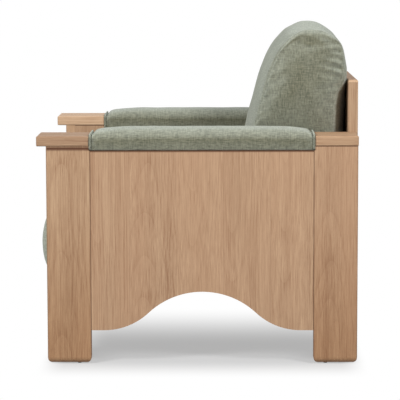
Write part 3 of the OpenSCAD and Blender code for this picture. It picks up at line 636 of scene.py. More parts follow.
def inflate(obj, held, pressure, slack, reach):
    """Lets the cloth fill out under pressure with its seams held, and limits how far each point moves."""
    scene = bpy.context.scene
    start = coordinates(obj)
    group = obj.vertex_groups.new(name="seams")
    group.add([int(i) for i in held], 1.0, "REPLACE")
    modifier = obj.modifiers.new("Cloth", "CLOTH")
    cloth = modifier.settings
    cloth.quality = 6
    cloth.mass = 0.25
    cloth.tension_stiffness = cloth.compression_stiffness = 18
    cloth.shear_stiffness = 6
    cloth.bending_stiffness = 0.6
    cloth.use_pressure = True
    cloth.uniform_pressure_force = pressure
    cloth.shrink_min = -slack
    cloth.vertex_group_mass = group.name
    cloth.effector_weights.gravity = 0.0
    modifier.point_cache.frame_start, modifier.point_cache.frame_end = 1, CLOTH_FRAMES
    for number in range(1, CLOTH_FRAMES + 1):
        scene.frame_set(number)
    done = obj.evaluated_get(bpy.context.evaluated_depsgraph_get())
    moved = coordinates(done) - start
    obj.modifiers.remove(modifier)
    obj.vertex_groups.remove(group)
    scene.frame_set(1)
    far = np.linalg.norm(moved, axis=1)
    limit = reach * np.tanh(1.5 * far / reach)
    set_coordinates(obj, start + moved * (limit / np.maximum(far, 1e-9))[:, None])


def sink_seam(obj, seam, depth):
    """Draws the points of a seam in, so that the cloth beside it stands proud."""
    points = coordinates(obj)
    points[seam] -= normals(obj)[seam] * depth
    set_coordinates(obj, points)


def subdivide(obj):
    """One level of subdivision, applied."""
    modifier = obj.modifiers.new("Smooth", "SUBSURF")
    modifier.levels = modifier.render_levels = 1
    modifier.boundary_smooth = "PRESERVE_CORNERS"
    apply_modifiers(obj)


def ripple(points, seed, scale, waves=6):
    """Smooth repeatable unevenness between -1 and 1 at each point."""
    rng = np.random.default_rng(seed)
    total = np.zeros(len(points))
    for k in range(waves):
        direction = rng.normal(size=3)
        direction /= np.linalg.norm(direction)
        total += np.sin(points @ direction * scale * (1 + 0.35 * k) + rng.uniform(0, 2 * math.pi))
    return total / waves


def worn(obj, amount, seed, scale):
    """The points of a soft piece with slight unevenness along its normals."""
    points = coordinates(obj)
    points += normals(obj) * (amount * ripple(points, seed, scale))[:, None]
    return points


def crease(flat, start, end, width, depth):
    """How deep a fold between two places of an end panel lies at each point: fading towards its far end."""
    start, end = np.asarray(start), np.asarray(end)
    line = end - start
    length = np.linalg.norm(line)
    along = np.clip((flat - start) @ line / length ** 2, 0, 1)
    off = np.linalg.norm(flat - start - along[:, None] * line, axis=1)
    fade = np.clip(1.0 - along, 0, 1) ** 0.8 * np.clip(along * 9, 0, 1)
    return depth * fade * (np.exp(-(off / width) ** 2) - 0.5 * np.exp(-((off - 1.9 * width) / width) ** 2))


def dent(flat, middle, spread, depth):
    """How deep a soft hollow round one place of an end panel lies at each point."""
    off = (flat - np.asarray(middle)) / np.asarray(spread)
    return depth * np.exp(-(off ** 2).sum(1))


def finish_soft(obj, body, slot, fill, *replaced):
    """Gives a soft piece its cloth and its body, and hides the CAD nodes that it replaces."""
    obj.data.materials.clear()
    obj.data.materials.append(cloth_material())
    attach(obj, body)
    if replaced:
        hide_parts(*replaced)


# Crown of the seat cushion, which the back cushion stands on

# How square the seat cushion's outline is, and how flat its crown
SEAT_SQUARE = 12
SEAT_CROWN = 2.5


def squareness(x, y, a, b):
    """From 0 in the middle of the seat cushion's panel to 1 at its seam."""
    share = (np.abs(x / a) ** SEAT_SQUARE + np.abs(y / b) ** SEAT_SQUARE) ** (1 / SEAT_SQUARE)
    return np.clip(share, 0, 1)


def seat_surface(x, y):
    """Height of the seat cushion's crown at a place, as its solid has it."""
    low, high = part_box("seat_cover")
    bulge = sizes().seat_side_bulge
    front, rear = low.y + sizes().seat_front_bulge, high.y - bulge
    share = squareness(x, y - (front + rear) / 2, high.x - bulge, (rear - front) / 2)
    seam = low.z + sizes().seat_boxing
    return seam + (high.z - seam) * (1 - share ** SEAT_CROWN)


# Back cushion

# Side view at the end seams, as shares of the depth ahead of the back panel and of the height
BACK_KEYS = (
    (0.9, 0), (0.97, 0.03), (0.98, 0.09), (0.938, 0.25), (0.880, 0.42), (0.814, 0.58), (0.742, 0.74),
    (0.655, 0.863), (0.561, 0.938), (0.45, 0.993), (0.3, 1.001), (0.165, 0.975), (0.076, 0.931),
    (0.031, 0.850), (0.022, 0.745), (0.076, 0.665), (0.122, 0.59), (0.14, 0.47), (0.155, 0.22),
    (0.165, 0.06), (0.21, 0.01), (0.5, 0))
# Counts of an end panel's grid, and the points round the cushion that they ask for
BACK_COUNTS = (54, 26)
BACK_RING = 2 * sum(BACK_COUNTS)
# Rows of points beside a seam, and where the even rows start
SEAM_ROWS, SEAM_ROOM = (0.0, 0.004), 0.010
# Height over which the rear crown fades at the back panel's top, and the room that the zips have there
REAR_RUN = 0.048
ZIP_ROOM = 0.0016
# The foot's gap over the seat cushion's crown, the least gap beside it, and the height above the foot
# that gives way with it
FOOT_GAP, LEAST_GAP, FOOT_RISE = 0.0004, 0.0006, 0.16
# The end panels swell from this far below the arm pads' top, over this height
SWELL_BELOW, SWELL_RUN = 0.05, 0.125
# Room beside the arm pads, where it starts to widen below their top, and how fast
PAD_ROOM, PAD_SHOULDER, PAD_SPREAD = 0.0012, 0.026, 0.35
# Pulls in the end panels: Y and Z where each starts and ends, its width and its depth
PULLS = (
    (0.3690, 0.7350, 0.3120, 0.7500, 0.0050, 0.0056), (0.3680, 0.7590, 0.3150, 0.7720, 0.0055, 0.0042),
    (0.3650, 0.7800, 0.3150, 0.7780, 0.0055, 0.0036), (0.3660, 0.7150, 0.3060, 0.7240, 0.0050, 0.0032),
    (0.3590, 0.6930, 0.2980, 0.6820, 0.0060, 0.0034), (0.3490, 0.8000, 0.3050, 0.7920, 0.0060, 0.0026),
    (0.3520, 0.6500, 0.3080, 0.6440, 0.0060, 0.0022), (0.3480, 0.5800, 0.3080, 0.5760, 0.0070, 0.0020))
# Hollows in the end panels: Y and Z of the middle, how far each spreads, and its depth
HOLLOWS = ((0.290, 0.775, 0.022, 0.040, 0.0022), (0.270, 0.655, 0.024, 0.050, 0.0016),
           (0.300, 0.560, 0.026, 0.036, 0.0014))


def back_loop():
    """The end seam's loop in Y and Z, its length and its outward directions."""
    panel_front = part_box("back_panel")[0].y
    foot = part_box("back_cover")[0].z
    keys = [(panel_front - sizes().seam_depth * f, foot + sizes().seam_height * h) for f, h in BACK_KEYS]
    loop, length = even_loop(smooth_loop(keys, 12), BACK_RING)
    loop[:, 1] = np.maximum(loop[:, 1], foot)
    return loop, length, loop_outwards(loop)


def back_station(loop, out, x, half):
    """The cushion's outline at a distance from its middle."""
    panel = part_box("back_panel")
    s = sizes()
    share = 1 - abs(x / half) ** 2.4
    held = np.clip(0.5 + (panel[1].z - loop[:, 1]) / (2 * REAR_RUN), 0, 1)
    top, front, rear = s.top_crown - s.fill, s.front_crown - s.fill, s.rear_crown - s.fill
    up = np.maximum(out[:, 1], 0)
    swell = np.where(out[:, 0] < 0, top * up ** 3 + front * np.maximum(-out[:, 0], 0) ** 3,
                     top * up ** 6 + rear * out[:, 0] * held)
    ring = loop + out * (swell * share)[:, None]
    ring[:, 0] = np.minimum(ring[:, 0], panel[0].y - ZIP_ROOM)
    ring[:, 1] = np.maximum(ring[:, 1], loop[:, 1].min())
    return ring


def stations(half, cell):
    """Distances from the middle of a band, closer together beside its seams."""
    inner = half - SEAM_ROOM
    middle = np.linspace(-inner, inner, int(2 * inner / cell) + 1)
    edge = [half - d for d in SEAM_ROWS]
    return np.concatenate([[-x for x in edge], middle, edge[::-1]])


def keep_clear(points, foot):
    """Keeps the back cushion off the back panel, and lets its foot settle on the seat's crown."""
    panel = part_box("back_panel")[0].y - ZIP_ROOM
    points[:, 1] = np.where(points[:, 1] > panel, panel, points[:, 1])
    drop = foot - FOOT_GAP - seat_surface(points[:, 0], points[:, 1])
    height = points[:, 2] - foot
    fall = np.clip(1 - height / FOOT_RISE, 0, 1) ** 2
    points[:, 2] -= np.maximum(drop, 0) * fall
    low = seat_surface(points[:, 0], points[:, 1]) + LEAST_GAP
    points[:, 2] = np.maximum(points[:, 2], low)
    return points


class CHAIR_OT_back_cushion(Operator):
    """Build the loose back cushion with its end panels, seams and folds"""

    bl_idname = "chair.back_cushion"
    bl_label = "Back Cushion"

    def execute(self, context):
        s = sizes()
        low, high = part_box("back_cover")
        half = high.x - s.end_bulge
        loop, length, out = back_loop()
        shell = Shell()
        rows = stations(half, s.cell)
        rings = [back_station(loop, out, x, half) for x in rows]
        points = np.array([[(x, y, z) for y, z in ring] for x, ring in zip(rows, rings)])
        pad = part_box("arm_cover_left")
        numbers = shell.wrap(points, rows[:, None], np.linspace(0, length, BACK_RING + 1)[None, :])

        def swollen(grid):
            above = np.clip((grid[:, :, 2] - pad[1].z + SWELL_BELOW) / SWELL_RUN, 0, 1)
            bulge = s.end_bulge - s.fill + s.end_crown * above * above * (3 - 2 * above)
            grid[:, :, 0] += np.sign(grid[:, :, 0]) * bulge * pillow(*grid.shape[:2], 1.6)

        shell.close(numbers[0], BACK_COUNTS, [1, 2], swollen, flip=True)
        shell.close(numbers[-1], BACK_COUNTS, [1, 2], swollen)
        obj = shell.build("back_cushion_cover")
        held = np.concatenate([numbers[0], numbers[-1]])
        # The rear above the back panel fills out less
        start = coordinates(obj)
        bare = np.clip((start[:, 2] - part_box("back_panel")[1].z) / 0.04, 0, 1)
        bare *= np.clip((start[:, 1] - low.y) / (high.y - low.y) * 4 - 2.2, 0, 1)
        bare *= np.abs(start[:, 0]) < half
        inflate(obj, held, pressure=3.2, slack=0.012, reach=s.fill * (1 - 0.75 * bare))
        sink_seam(obj, held, s.groove)
        subdivide(obj)
        points = worn(obj, amount=0.0009, seed=3, scale=55.0)
        points[:, 0] -= np.sign(points[:, 0]) * self.folds(points, half)
        room = pad[0].x - PAD_ROOM + PAD_SPREAD * np.maximum(points[:, 2] - pad[1].z + PAD_SHOULDER, 0)
        points[:, 0] = np.clip(points[:, 0], -room, room)
        set_coordinates(obj, keep_clear(points, low.z))
        finish_soft(obj, "back_cushion", "sage_weave", 0.8, "back_cover")
        return {"FINISHED"}

    def folds(self, points, half):
        """Depth of the pulls and hollows of the end panels, fading out just inside their seams."""
        flat = points[:, 1:]
        total = np.zeros(len(points))
        for y0, z0, y1, z1, width, depth in PULLS:
            total += crease(flat, (y0, z0), (y1, z1), width, depth)
        for y, z, wide, tall, depth in HOLLOWS:
            total += dent(flat, (y, z), (wide, tall), depth)
        return total * np.clip((np.abs(points[:, 0]) - half + 0.001) / 0.002, 0, 1)


# Seat cushion

# Counts of its panels' grids, along its front and along its side
SEAT_COUNTS = (82, 54)
# Rows of points down the boxing, as shares of its height, which the even rows lie between
BOXING_TOP, BOXING_EVEN, BOXING_FOOT = (0.0, 0.03), (0.075, 0.925), (0.97, 1.0)


def seat_outline(a, front, rear, mid, count):
    """Outline of the seat cushion in X and Y, starting at a front corner."""
    angle = np.linspace(0, 2 * math.pi, 2400, endpoint=False)
    depth = np.where(np.sin(angle) < 0, mid - front, rear - mid)
    reach = (np.abs(np.cos(angle) / a) ** SEAT_SQUARE
             + np.abs(np.sin(angle) / depth) ** SEAT_SQUARE) ** (-1 / SEAT_SQUARE)
    loop = np.stack([reach * np.cos(angle), mid + reach * np.sin(angle)], 1)
    corner = int(np.argmax(loop[:, 0] / a - (loop[:, 1] - mid) / (mid - front)))
    return even_loop(np.roll(loop, -corner, 0), count)


class CHAIR_OT_seat_cushion(Operator):
    """Build the loose seat cushion with its crowned panels and bulging boxing"""

    bl_idname = "chair.seat_cushion"
    bl_label = "Seat Cushion"

    def execute(self, context):
        s = sizes()
        low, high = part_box("seat_cover")
        a = high.x - s.seat_side_bulge
        front, rear = low.y + s.seat_front_bulge, high.y - s.seat_side_bulge
        mid = (front + rear) / 2
        top, bottom = low.z + s.seat_boxing, low.z
        count = 2 * sum(SEAT_COUNTS)
        shell = Shell()
        rows = int(s.seat_boxing / s.cell)
        levels = np.concatenate([BOXING_TOP, np.linspace(*BOXING_EVEN, rows - 2), BOXING_FOOT])
        rings = []
        for v in levels:
            bow = math.sin(math.pi * v) ** 0.85
            outline, length = seat_outline(a + s.seat_side_bulge * bow, front - s.seat_front_bulge * bow,
                                           rear + s.seat_side_bulge * bow, mid, count)
            rings.append([(x, y, top - s.seat_boxing * v) for x, y in outline])
        numbers = shell.wrap(rings, np.linspace(0, length, count + 1)[None, :],
                             -s.seat_boxing * levels[:, None], flip=True)

        def crowned(grid):
            share = squareness(grid[:, :, 0], grid[:, :, 1] - mid, a, rear - mid)
            grid[:, :, 2] += (high.z - top) * (1 - share ** SEAT_CROWN)

        shell.close(numbers[0], SEAT_COUNTS, [0, 1], crowned)
        shell.close(numbers[-1], SEAT_COUNTS, [0, 1], flip=True)
        obj = shell.build("seat_cushion_cover")
        held = np.concatenate([numbers[0], numbers[-1]])
        inflate(obj, held, pressure=2.6, slack=0.010, reach=s.fill)
        sink_seam(obj, numbers[0], s.groove)
        sink_seam(obj, numbers[-1], s.groove * 0.5)
        subdivide(obj)
        points = worn(obj, amount=0.0007, seed=8, scale=45.0)
        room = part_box("arm_cover_left")[0].x - 0.0008
        points[:, 0] = np.clip(points[:, 0], -room, room)
        points[:, 1] = np.minimum(points[:, 1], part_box("back_panel")[0].y - ZIP_ROOM)
        limit = seat_surface(points[:, 0], points[:, 1])
        upper = points[:, 2] > top + 0.002
        points[upper, 2] = np.minimum(points[upper, 2], limit[upper])
        points[:, 2] = np.maximum(points[:, 2], bottom)
        set_coordinates(obj, points)
        finish_soft(obj, "seat_cushion", "sage_weave", 0.9, "seat_cover")
        return {"FINISHED"}


# Arm pads

# Corner of a pad's neck, which its piping follows
NECK_CORNER = 0.0095
# A pad's corner across and down, the crown of its top and the draw under its edge: each at the neck, and
# what the full pad adds
PAD_SHAPE = ((NECK_CORNER, 0.0245), (NECK_CORNER, 0.0165), (0.001, 0.001), (0.0005, 0.0041))
# Points across a pad, and the rows of points beyond its neck that are closer together than the even ones
PAD_COUNT = 56
PAD_ROWS = (0.0, 0.0006, 0.002, 0.004, 0.007, 0.011, 0.016, 0.022, 0.029, 0.037, 0.046)


def pad_section(half, top, wide, tall, crown, under, floor, count):
    """Outline across an arm pad, from one lower edge over its top to the other, and its length."""
    waist = top - crown - tall
    fall = np.linspace(0, 1, 7)[:-1]
    foot = np.stack([half - under * (1 - fall) ** 3, floor + (waist - floor) * fall], 1)
    t = np.radians(np.linspace(0, 86, 12))
    shoulder = np.stack([half - wide + wide * np.cos(t), waist + tall * np.sin(t)], 1)
    t = np.linspace(1, 0, 8)[1:]
    ridge = np.stack([(half - wide) * t, top - crown * t * t], 1)
    near = np.vstack([foot, shoulder, ridge])
    return even_loop(np.vstack([near, (near * (-1, 1))[-2::-1]]), count)


class CHAIR_OT_arm_pads(Operator):
    """Build the padded arms: a narrow neck at each end that swells into a crowned pad"""

    bl_idname = "chair.arm_pads"
    bl_label = "Arm Pads"

    def execute(self, context):
        for side, sign in SIDES:
            self.pad(side, sign)
        return {"FINISHED"}

    def pad(self, side, sign):
        s = sizes()
        low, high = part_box(f"arm_cover_{side}")
        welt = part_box(f"arm_welt_{side}")
        middle = (low.x + high.x) / 2
        half = (high.x - low.x) / 2
        neck_half = (welt[1].x - welt[0].x) / 2 - s.welt
        neck_top = welt[1].z - s.welt
        ends = [0.0, s.pad_neck / 2, *(s.pad_neck + d for d in PAD_ROWS)]
        reach = ends[-1] + s.cell
        inner = np.linspace(low.y + reach, high.y - reach, int((high.y - low.y - 2 * reach) / s.cell))
        rows = np.concatenate([[low.y + d for d in ends], inner, [high.y - d for d in ends[::-1]]])
        rings, length = [], 0.0
        for y in rows:
            d = max(0.0, min(y - low.y, high.y - y) - s.pad_neck)
            full = (0.5 * math.sqrt(1 - (1 - min(1.0, d / s.pad_rise)) ** 2)
                    + 0.5 * math.sin(math.pi / 2 * min(1.0, d / s.pad_swell)))
            section, length = pad_section(neck_half + (half - s.pad_fill - neck_half) * full ** 0.7,
                                          neck_top + (high.z - s.pad_fill - neck_top) * full,
                                          *(neck + more * full for neck, more in PAD_SHAPE),
                                          low.z, PAD_COUNT)
            rings.append([(middle + sign * x, y, z) for x, z in section])
        shell = Shell()
        numbers = shell.wrap(rings, np.linspace(0, length, PAD_COUNT + 1)[None, :], rows[:, None])
        for ring in (numbers[0], numbers[-1]):
            shell.close(ring, (PAD_COUNT // 4, PAD_COUNT // 4), [0, 2])
        obj = shell.build(f"arm_pad_{side}")
        still = np.concatenate([numbers[:3].ravel(), numbers[-3:].ravel(), numbers[:, 0], numbers[:, -1]])
        inflate(obj, still, pressure=2.2, slack=0.010, reach=s.pad_fill)
        subdivide(obj)
        points = worn(obj, amount=0.0006, seed=21 + sign, scale=60.0)
        points[:, 0] = np.clip(points[:, 0], low.x + 0.0001, high.x)
        points[:, 1] = np.clip(points[:, 1], low.y, high.y)
        points[:, 2] = np.clip(points[:, 2], low.z, high.z + 0.001)
        set_coordinates(obj, points)
        finish_soft(obj, "frame", "sage_weave", 0.85, f"arm_cover_{side}", f"arm_foam_{side}")


def tube(name, path, radius, sides=14):
    """A round cord along an open path, closed at both ends, with the cloth measure on it."""
    path = np.asarray(path, float)
    tangent = np.gradient(path, axis=0)
    tangent /= np.linalg.norm(tangent, axis=1)[:, None]
    flat = np.array([0.0, 1.0, 0.0])
    second = np.cross(tangent, flat)
    second /= np.linalg.norm(second, axis=1)[:, None]
    angle = np.linspace(0, 2 * math.pi, sides, endpoint=False)
    rings = (path[:, None] + radius * (np.cos(angle)[None, :, None] * flat
                                       + np.sin(angle)[None, :, None] * second[:, None]))
    shell = Shell()
    run = np.concatenate([[0.0], np.cumsum(np.linalg.norm(np.diff(path, axis=0), axis=1))])[:, None]
    turn = np.linspace(0, 2 * math.pi * radius, sides + 1)[None, :]
    # The cloth of a cord is cut on the bias
    bias = math.sqrt(0.5)
    numbers = shell.wrap(rings, (run + turn) * bias, (run - turn) * bias)
    for ring, end in ((numbers[0], path[0]), (numbers[-1], path[-1])):
        centre = int(shell.add([end])[0])
        for i in range(sides):
            shell.faces.append([int(ring[i]), int(ring[(i + 1) % sides]), centre])
            shell.cloth.append([(0, 0), (0.001, 0), (0, 0.001)])
    return shell.build(name)


class CHAIR_OT_piping(Operator):
    """Build the piping round both necks of each arm pad"""

    bl_idname = "chair.piping"
    bl_label = "Piping"

    def execute(self, context):
        s = sizes()
        for side, _ in SIDES:
            low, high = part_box(f"arm_welt_{side}")
            r = s.welt / 2
            bend = NECK_CORNER + r
            x0, x1, top = low.x + r, high.x - r, high.z - r
            foot = low.z
            corner = np.radians(np.linspace(180, 90, 9))
            rise = [(x0, z) for z in np.linspace(foot, top - bend, 6)[:-1]]
            first = [(x0 + bend + bend * math.cos(t), top - bend + bend * math.sin(t)) for t in corner]
            half = rise + first
            mirrored = [(x0 + x1 - x, z) for x, z in half[::-1]]
            flat = [(x, top) for x in np.linspace(x0 + bend, x1 - bend, 12)[1:-1]]
            for end, y in (("front", low.y + r), ("rear", high.y - r)):
                path = [(x, y, z) for x, z in half + flat + mirrored]
                obj = tube(f"arm_piping_{end}_{side}", path, r)
                finish_soft(obj, "frame", "sage_weave", None)
                if end == "front":
                    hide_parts(f"arm_welt_{side}")
        return {"FINISHED"}


# Repeated detail

def repeat_tree(name, shape):
    """A tree that sets a small shape at even steps along a line, turned to follow it."""
    tree = bpy.data.node_groups.new(name, "GeometryNodeTree")
    face = tree.interface
    face.new_socket(name="Geometry", in_out="INPUT", socket_type="NodeSocketGeometry")
    for label in ("Step", "Length", "Width", "Height"):
        face.new_socket(name=label, in_out="INPUT", socket_type="NodeSocketFloat")
    face.new_socket(name="Finish", in_out="INPUT", socket_type="NodeSocketMaterial")
    face.new_socket(name="Geometry", in_out="OUTPUT", socket_type="NodeSocketGeometry")
    given = node(tree, "NodeGroupInput").outputs
    curve = node(tree, "GeometryNodeMeshToCurve", {0: given["Geometry"]}).outputs[0]
    even = node(tree, "GeometryNodeResampleCurve", {"Curve": curve, "Length": given["Step"]}, mode="LENGTH")
    tangent = node(tree, "GeometryNodeInputTangent").outputs[0]
    turn = node(tree, "FunctionNodeAlignRotationToVector", {"Vector": tangent}, axis="X").outputs[0]
    if shape == "stitch":
        piece = node(tree, "GeometryNodeMeshUVSphere", {"Segments": 8, "Rings": 6, "Radius": 0.5})
    else:
        piece = node(tree, "GeometryNodeMeshCube")
    measure = vector(tree, *(given[label] for label in ("Length", "Width", "Height")))
    sized = node(tree, "GeometryNodeTransform", {"Geometry": piece.outputs[0], "Scale": measure}).outputs[0]
    placed = node(tree, "GeometryNodeInstanceOnPoints",
                  {"Points": even.outputs[0], "Instance": sized, "Rotation": turn}).outputs[0]
    real = node(tree, "GeometryNodeRealizeInstances", {0: placed}).outputs[0]
    finished = node(tree, "GeometryNodeSetMaterial", {"Geometry": real, "Material": given["Finish"]})
    node(tree, "NodeGroupOutput", {0: finished.outputs[0]})
    return tree


def repeat_along(name, lines, tree, finish, body, slot, **measures):
    """A plain mesh of a tree's shapes along one or more lines of points."""
    points, edges = [], []
    for line in lines:
        first = len(points)
        points.extend(tuple(p) for p in line)
        edges.extend((first + i, first + i + 1) for i in range(len(line) - 1))
    mesh = bpy.data.meshes.new(name)
    mesh.from_pydata(points, edges, [])
    obj = add_object(name, mesh)
    modifier = obj.modifiers.new("Repeat", "NODES")
    modifier.node_group = tree
    for item in tree.interface.items_tree:
        if item.item_type == "SOCKET" and item.in_out == "INPUT" and item.name != "Geometry":
            modifier[item.identifier] = finish if item.name == "Finish" else measures[item.name.lower()]
    apply_modifiers(obj)
    smooth_faces(obj)
    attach(obj, body)
    return obj


def eased_box(name, low, high, ease, finish, body):
    """A small solid with rounded edges."""
    work = bmesh.new()
    bmesh.ops.create_cube(work, size=1.0)
    middle, span = (Vector(low) + Vector(high)) / 2, Vector(high) - Vector(low)
    place = Matrix.Translation(middle) @ Matrix.Diagonal((*span, 1))
    bmesh.ops.transform(work, matrix=place, verts=work.verts)
    bmesh.ops.bevel(work, geom=work.edges[:], offset=ease, segments=2, affect="EDGES", profile=0.5)
    obj = add_worked(name, work)
    obj.data.materials.append(finish)
    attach(obj, body)
    return obj


# Zip: the tape's faces on both sides of the cover's rear, and how far its teeth and stitches stop short
TAPE_INNER, TAPE_OUTER = 0.0006, 0.0005
TEETH_SHORT, STITCH_SHORT = 0.004, 0.002
# Each row of teeth from the zip's middle, and each row of stitches from the tape's edge
TOOTH_ROW, STITCH_ROW = 0.0011, 0.0035
# The slider's place from the zip's end, and how thick it and its pull stand
SLIDER_END, SLIDER_PROUD = 0.018, 0.0011


class CHAIR_OT_zips(Operator):
    """Build the zip at the rear of each loose cushion: tapes, teeth, slider, pull and stitching"""

    bl_idname = "chair.zips"
    bl_label = "Zips"

    def execute(self, context):
        s = sizes()
        tape = plain("zip_tape", (0.10, 0.105, 0.085), 0.9, grain=(900.0, 900.0, 900.0), contrast=0.3)
        metal = plain("zip_metal", (0.42, 0.40, 0.36), 0.35, 0.9)
        thread = plain("stitch_thread", (0.30, 0.30, 0.24), 0.8, grain=(1500.0, 1500.0, 1500.0))
        teeth = repeat_tree("zip_teeth", "tooth")
        stitches = repeat_tree("stitches", "stitch")
        for cushion in ("seat", "back"):
            low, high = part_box(f"{cushion}_zip")
            body = f"{cushion}_cushion"
            z = (low.z + high.z) / 2
            y = low.y
            band = eased_box(f"{cushion}_zip_tape", (low.x, y - TAPE_INNER, low.z),
                             (high.x, y + TAPE_OUTER, high.z), 0.0002, tape, body)
            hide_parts(f"{cushion}_zip")
            # The lower teeth stand between the upper ones
            for label, shift, late in (("upper", TOOTH_ROW, 0), ("lower", -TOOTH_ROW, s.tooth / 2)):
                line = [(low.x + TEETH_SHORT + late, y + 0.0007, z + shift),
                        (high.x - TEETH_SHORT, y + 0.0007, z + shift)]
                repeat_along(f"{cushion}_zip_teeth_{label}", [line], teeth, metal, body, "zip",
                             step=s.tooth, length=s.tooth * 0.55, width=0.0009, height=0.0032)
            head = high.x - SLIDER_END
            for label, half, back, foot, top in (("slider", 0.0045, 0, -0.004, 0.004),
                                                 ("pull", 0.0022, 0.0002, -0.026, -0.003)):
                eased_box(f"{cushion}_zip_{label}", (head - half, y + back, z + foot),
                          (head + half, y + SLIDER_PROUD, z + top), 0.0004, metal, body)
            lines = [[(x, y + 0.0006, h) for x in (low.x + STITCH_SHORT, high.x - STITCH_SHORT)]
                     for h in (low.z + STITCH_ROW, high.z - STITCH_ROW)]
            repeat_along(f"{cushion}_zip_stitches", lines, stitches, thread, body, "sage_weave",
                         step=s.stitch, length=s.stitch * 0.66, width=0.0005, height=0.0005)
        return {"FINISHED"}


# Timber, metal and webbing of the CAD nodes

# Staves: the axis that they follow each other along, where the first one starts, and their width
PANEL_STAVES = (1, -0.171, 0.118)
BACK_STAVES = (0, -0.27, 0.108)
POST_WIDTH = 0.11
# Tints of the boards that stand more or less in the light than the rest in the photograph
FRONT_TINT = (1.02, 1.03, 1.02)
REAR_CAP_TINT = (1.06, 1.09, 1.09)
NEAR_CAP_TINT, FAR_CAP_TINT = 0.84, (1.38, 1.50, 1.60)
BACK_TINT = (1.32, 1.42, 1.48)
# Width of the paler strip at the back panel's ends: painted light where each end catches the light
LIT_END_WIDTH = 0.006


class CHAIR_OT_oak(Operator):
    """Give the oak boards their grain, each along its own length"""

    bl_idname = "chair.oak"
    bl_label = "Oak Boards"

    def execute(self, context):
        light, dark = tuple(colours().oak_light), tuple(colours().oak_dark)
        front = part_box("front_post_left")[1].y
        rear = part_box("rear_post_left")[0].y
        under_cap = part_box("front_cap_left")[0].z
        under_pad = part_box("arm_cover_left")[0].z
        # Darkened lines: axis, place, width and strength
        # Dark joints beside the posts, with painted shade in their grooves
        beside_posts = [(1, front, 0.0024, 0.42), (1, rear, 0.0024, 0.42)]
        # Painted shadow on the front posts under the caps' overhang
        painted_shadow_under_cap = [(2, under_cap - 0.0056, 0.0070, 0.99)]
        # Painted shade along the joint under a cap, on the cap's lower edge and the board below
        thin_painted_shadow_under_cap = [(2, under_cap, 0.0022, 0.8)]
        # Painted shadow on the panels under the arm pads' overhang
        painted_shadow_under_pad = [(2, under_pad - 0.0006, 0.0044, 0.95)]
        front_staves, rear_staves = (1, front - POST_WIDTH, POST_WIDTH), (1, rear, POST_WIDTH)
        # Name, axis of the grain, staves, tint, darkened lines, painted shade at the foot, and nodes
        boards = (
            ("oak_front_posts", 2, front_staves, FRONT_TINT, painted_shadow_under_cap + beside_posts, 1.0, ("front_post",)),
            ("oak_front_faces", 2, front_staves, FRONT_TINT, (), 1.0, ("front_face",)),
            ("oak_rear_posts", 2, rear_staves, 1.0, thin_painted_shadow_under_cap + beside_posts, 1.0,
             ("rear_post", "rear_face")),
            ("oak_side_panels", 2, PANEL_STAVES, 1.0, beside_posts + painted_shadow_under_pad, 0.0, ("side_panel",)),
            # The inner panels are toned down to 0.9 as painted shade: they face into the chair
            ("oak_inner_panels", 2, PANEL_STAVES, 0.9, thin_painted_shadow_under_cap, 0.0, ("inner_panel",)),
            ("oak_rear_caps", 1, None, REAR_CAP_TINT, thin_painted_shadow_under_cap, 0.0, ("rear_cap",)))
        for name, grain, stave, tint, lines, foot, nodes in boards:
            made = timber(name, grain, light, dark, stave=stave, tint=tint, lines=lines, foot=foot)
            dress(made, *[f"{board}_{side}" for board in nodes for side, _ in SIDES])
        for side, tint in (("left", NEAR_CAP_TINT), ("right", FAR_CAP_TINT)):
            dress(timber(f"oak_front_cap_{side}", 1, light, dark, tint=tint, lines=thin_painted_shadow_under_cap),
                  f"front_cap_{side}")
        dress(timber("oak_back_panel", 2, light, dark, stave=BACK_STAVES, tint=BACK_TINT,
                     lit_end=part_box("back_panel")[1].x - LIT_END_WIDTH), "back_panel")
        dress(timber("oak_front_rail", 0, light, dark), "front_rail")
        return {"FINISHED"}


class CHAIR_OT_inner_frame(Operator):
    """Give the hidden timber, the foam, the webbing and the hardware their finishes"""

    bl_idname = "chair.inner_frame"
    bl_label = "Inner Frame"

    def execute(self, context):
        beech = tuple(colours().beech)
        for name, grain, nodes in (
                ("beech_across", 0, ("rear_rail", "corner_blocks", "arm_cleats", "back_dowels")),
                ("beech_lengthwise", 1, ("seat_bearer_left", "seat_bearer_right", "panel_dowels")),
                ("beech_upright", 2, ("cap_dowels",))):
            dress(timber(name, grain, beech, dimmed(beech, 0.62), figure=0.5), *nodes)
        dress(plywood("birch_plywood", (0.66, 0.50, 0.32), (0.42, 0.27, 0.15), 0.0022),
              "arm_core_left", "arm_core_right", "mitre_splines")
        dress(plain("zinc_steel", (0.55, 0.56, 0.57), 0.38, 1.0, contrast=0.08),
              "cleat_screws", "back_screws", "bearer_screws", "block_screws", "frame_bolts",
              "barrel_nuts", "webbing_staples")
        dress(plain("foam", (0.80, 0.74, 0.52), 0.95, grain=(700.0, 700.0, 700.0), contrast=0.2,
                    depth=0.001),
              "arm_foam_left", "arm_foam_right", "seat_core", "back_core")
        dress(plain("nylon", (0.035, 0.033, 0.03), 0.5, contrast=0.1), "floor_glides")
        jute, stripe = (0.30, 0.22, 0.125), (0.10, 0.05, 0.03)
        for name, along, straps in (("webbing_long", 1, 5), ("webbing_cross", 0, 7)):
            low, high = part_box(name)
            across = 1 - along
            pitch = (high[across] - low[across] - STRAP) / (straps - 1)
            dress(webbing(name.replace("webbing", "jute"), along, (low[across] + STRAP / 2, pitch), STRAP,
                          jute, stripe), name)
        return {"FINISHED"}


# Stage

# Camera, worked out from the boards' straight edges: lens in millimetres, place, and degrees of yaw,
# pitch and roll
LENS = 184.67
CAMERA_PLACE = (5.4949, 0.0659, 1.0083)
CAMERA_TURN = (-0.6692, 6.628, -0.1317)
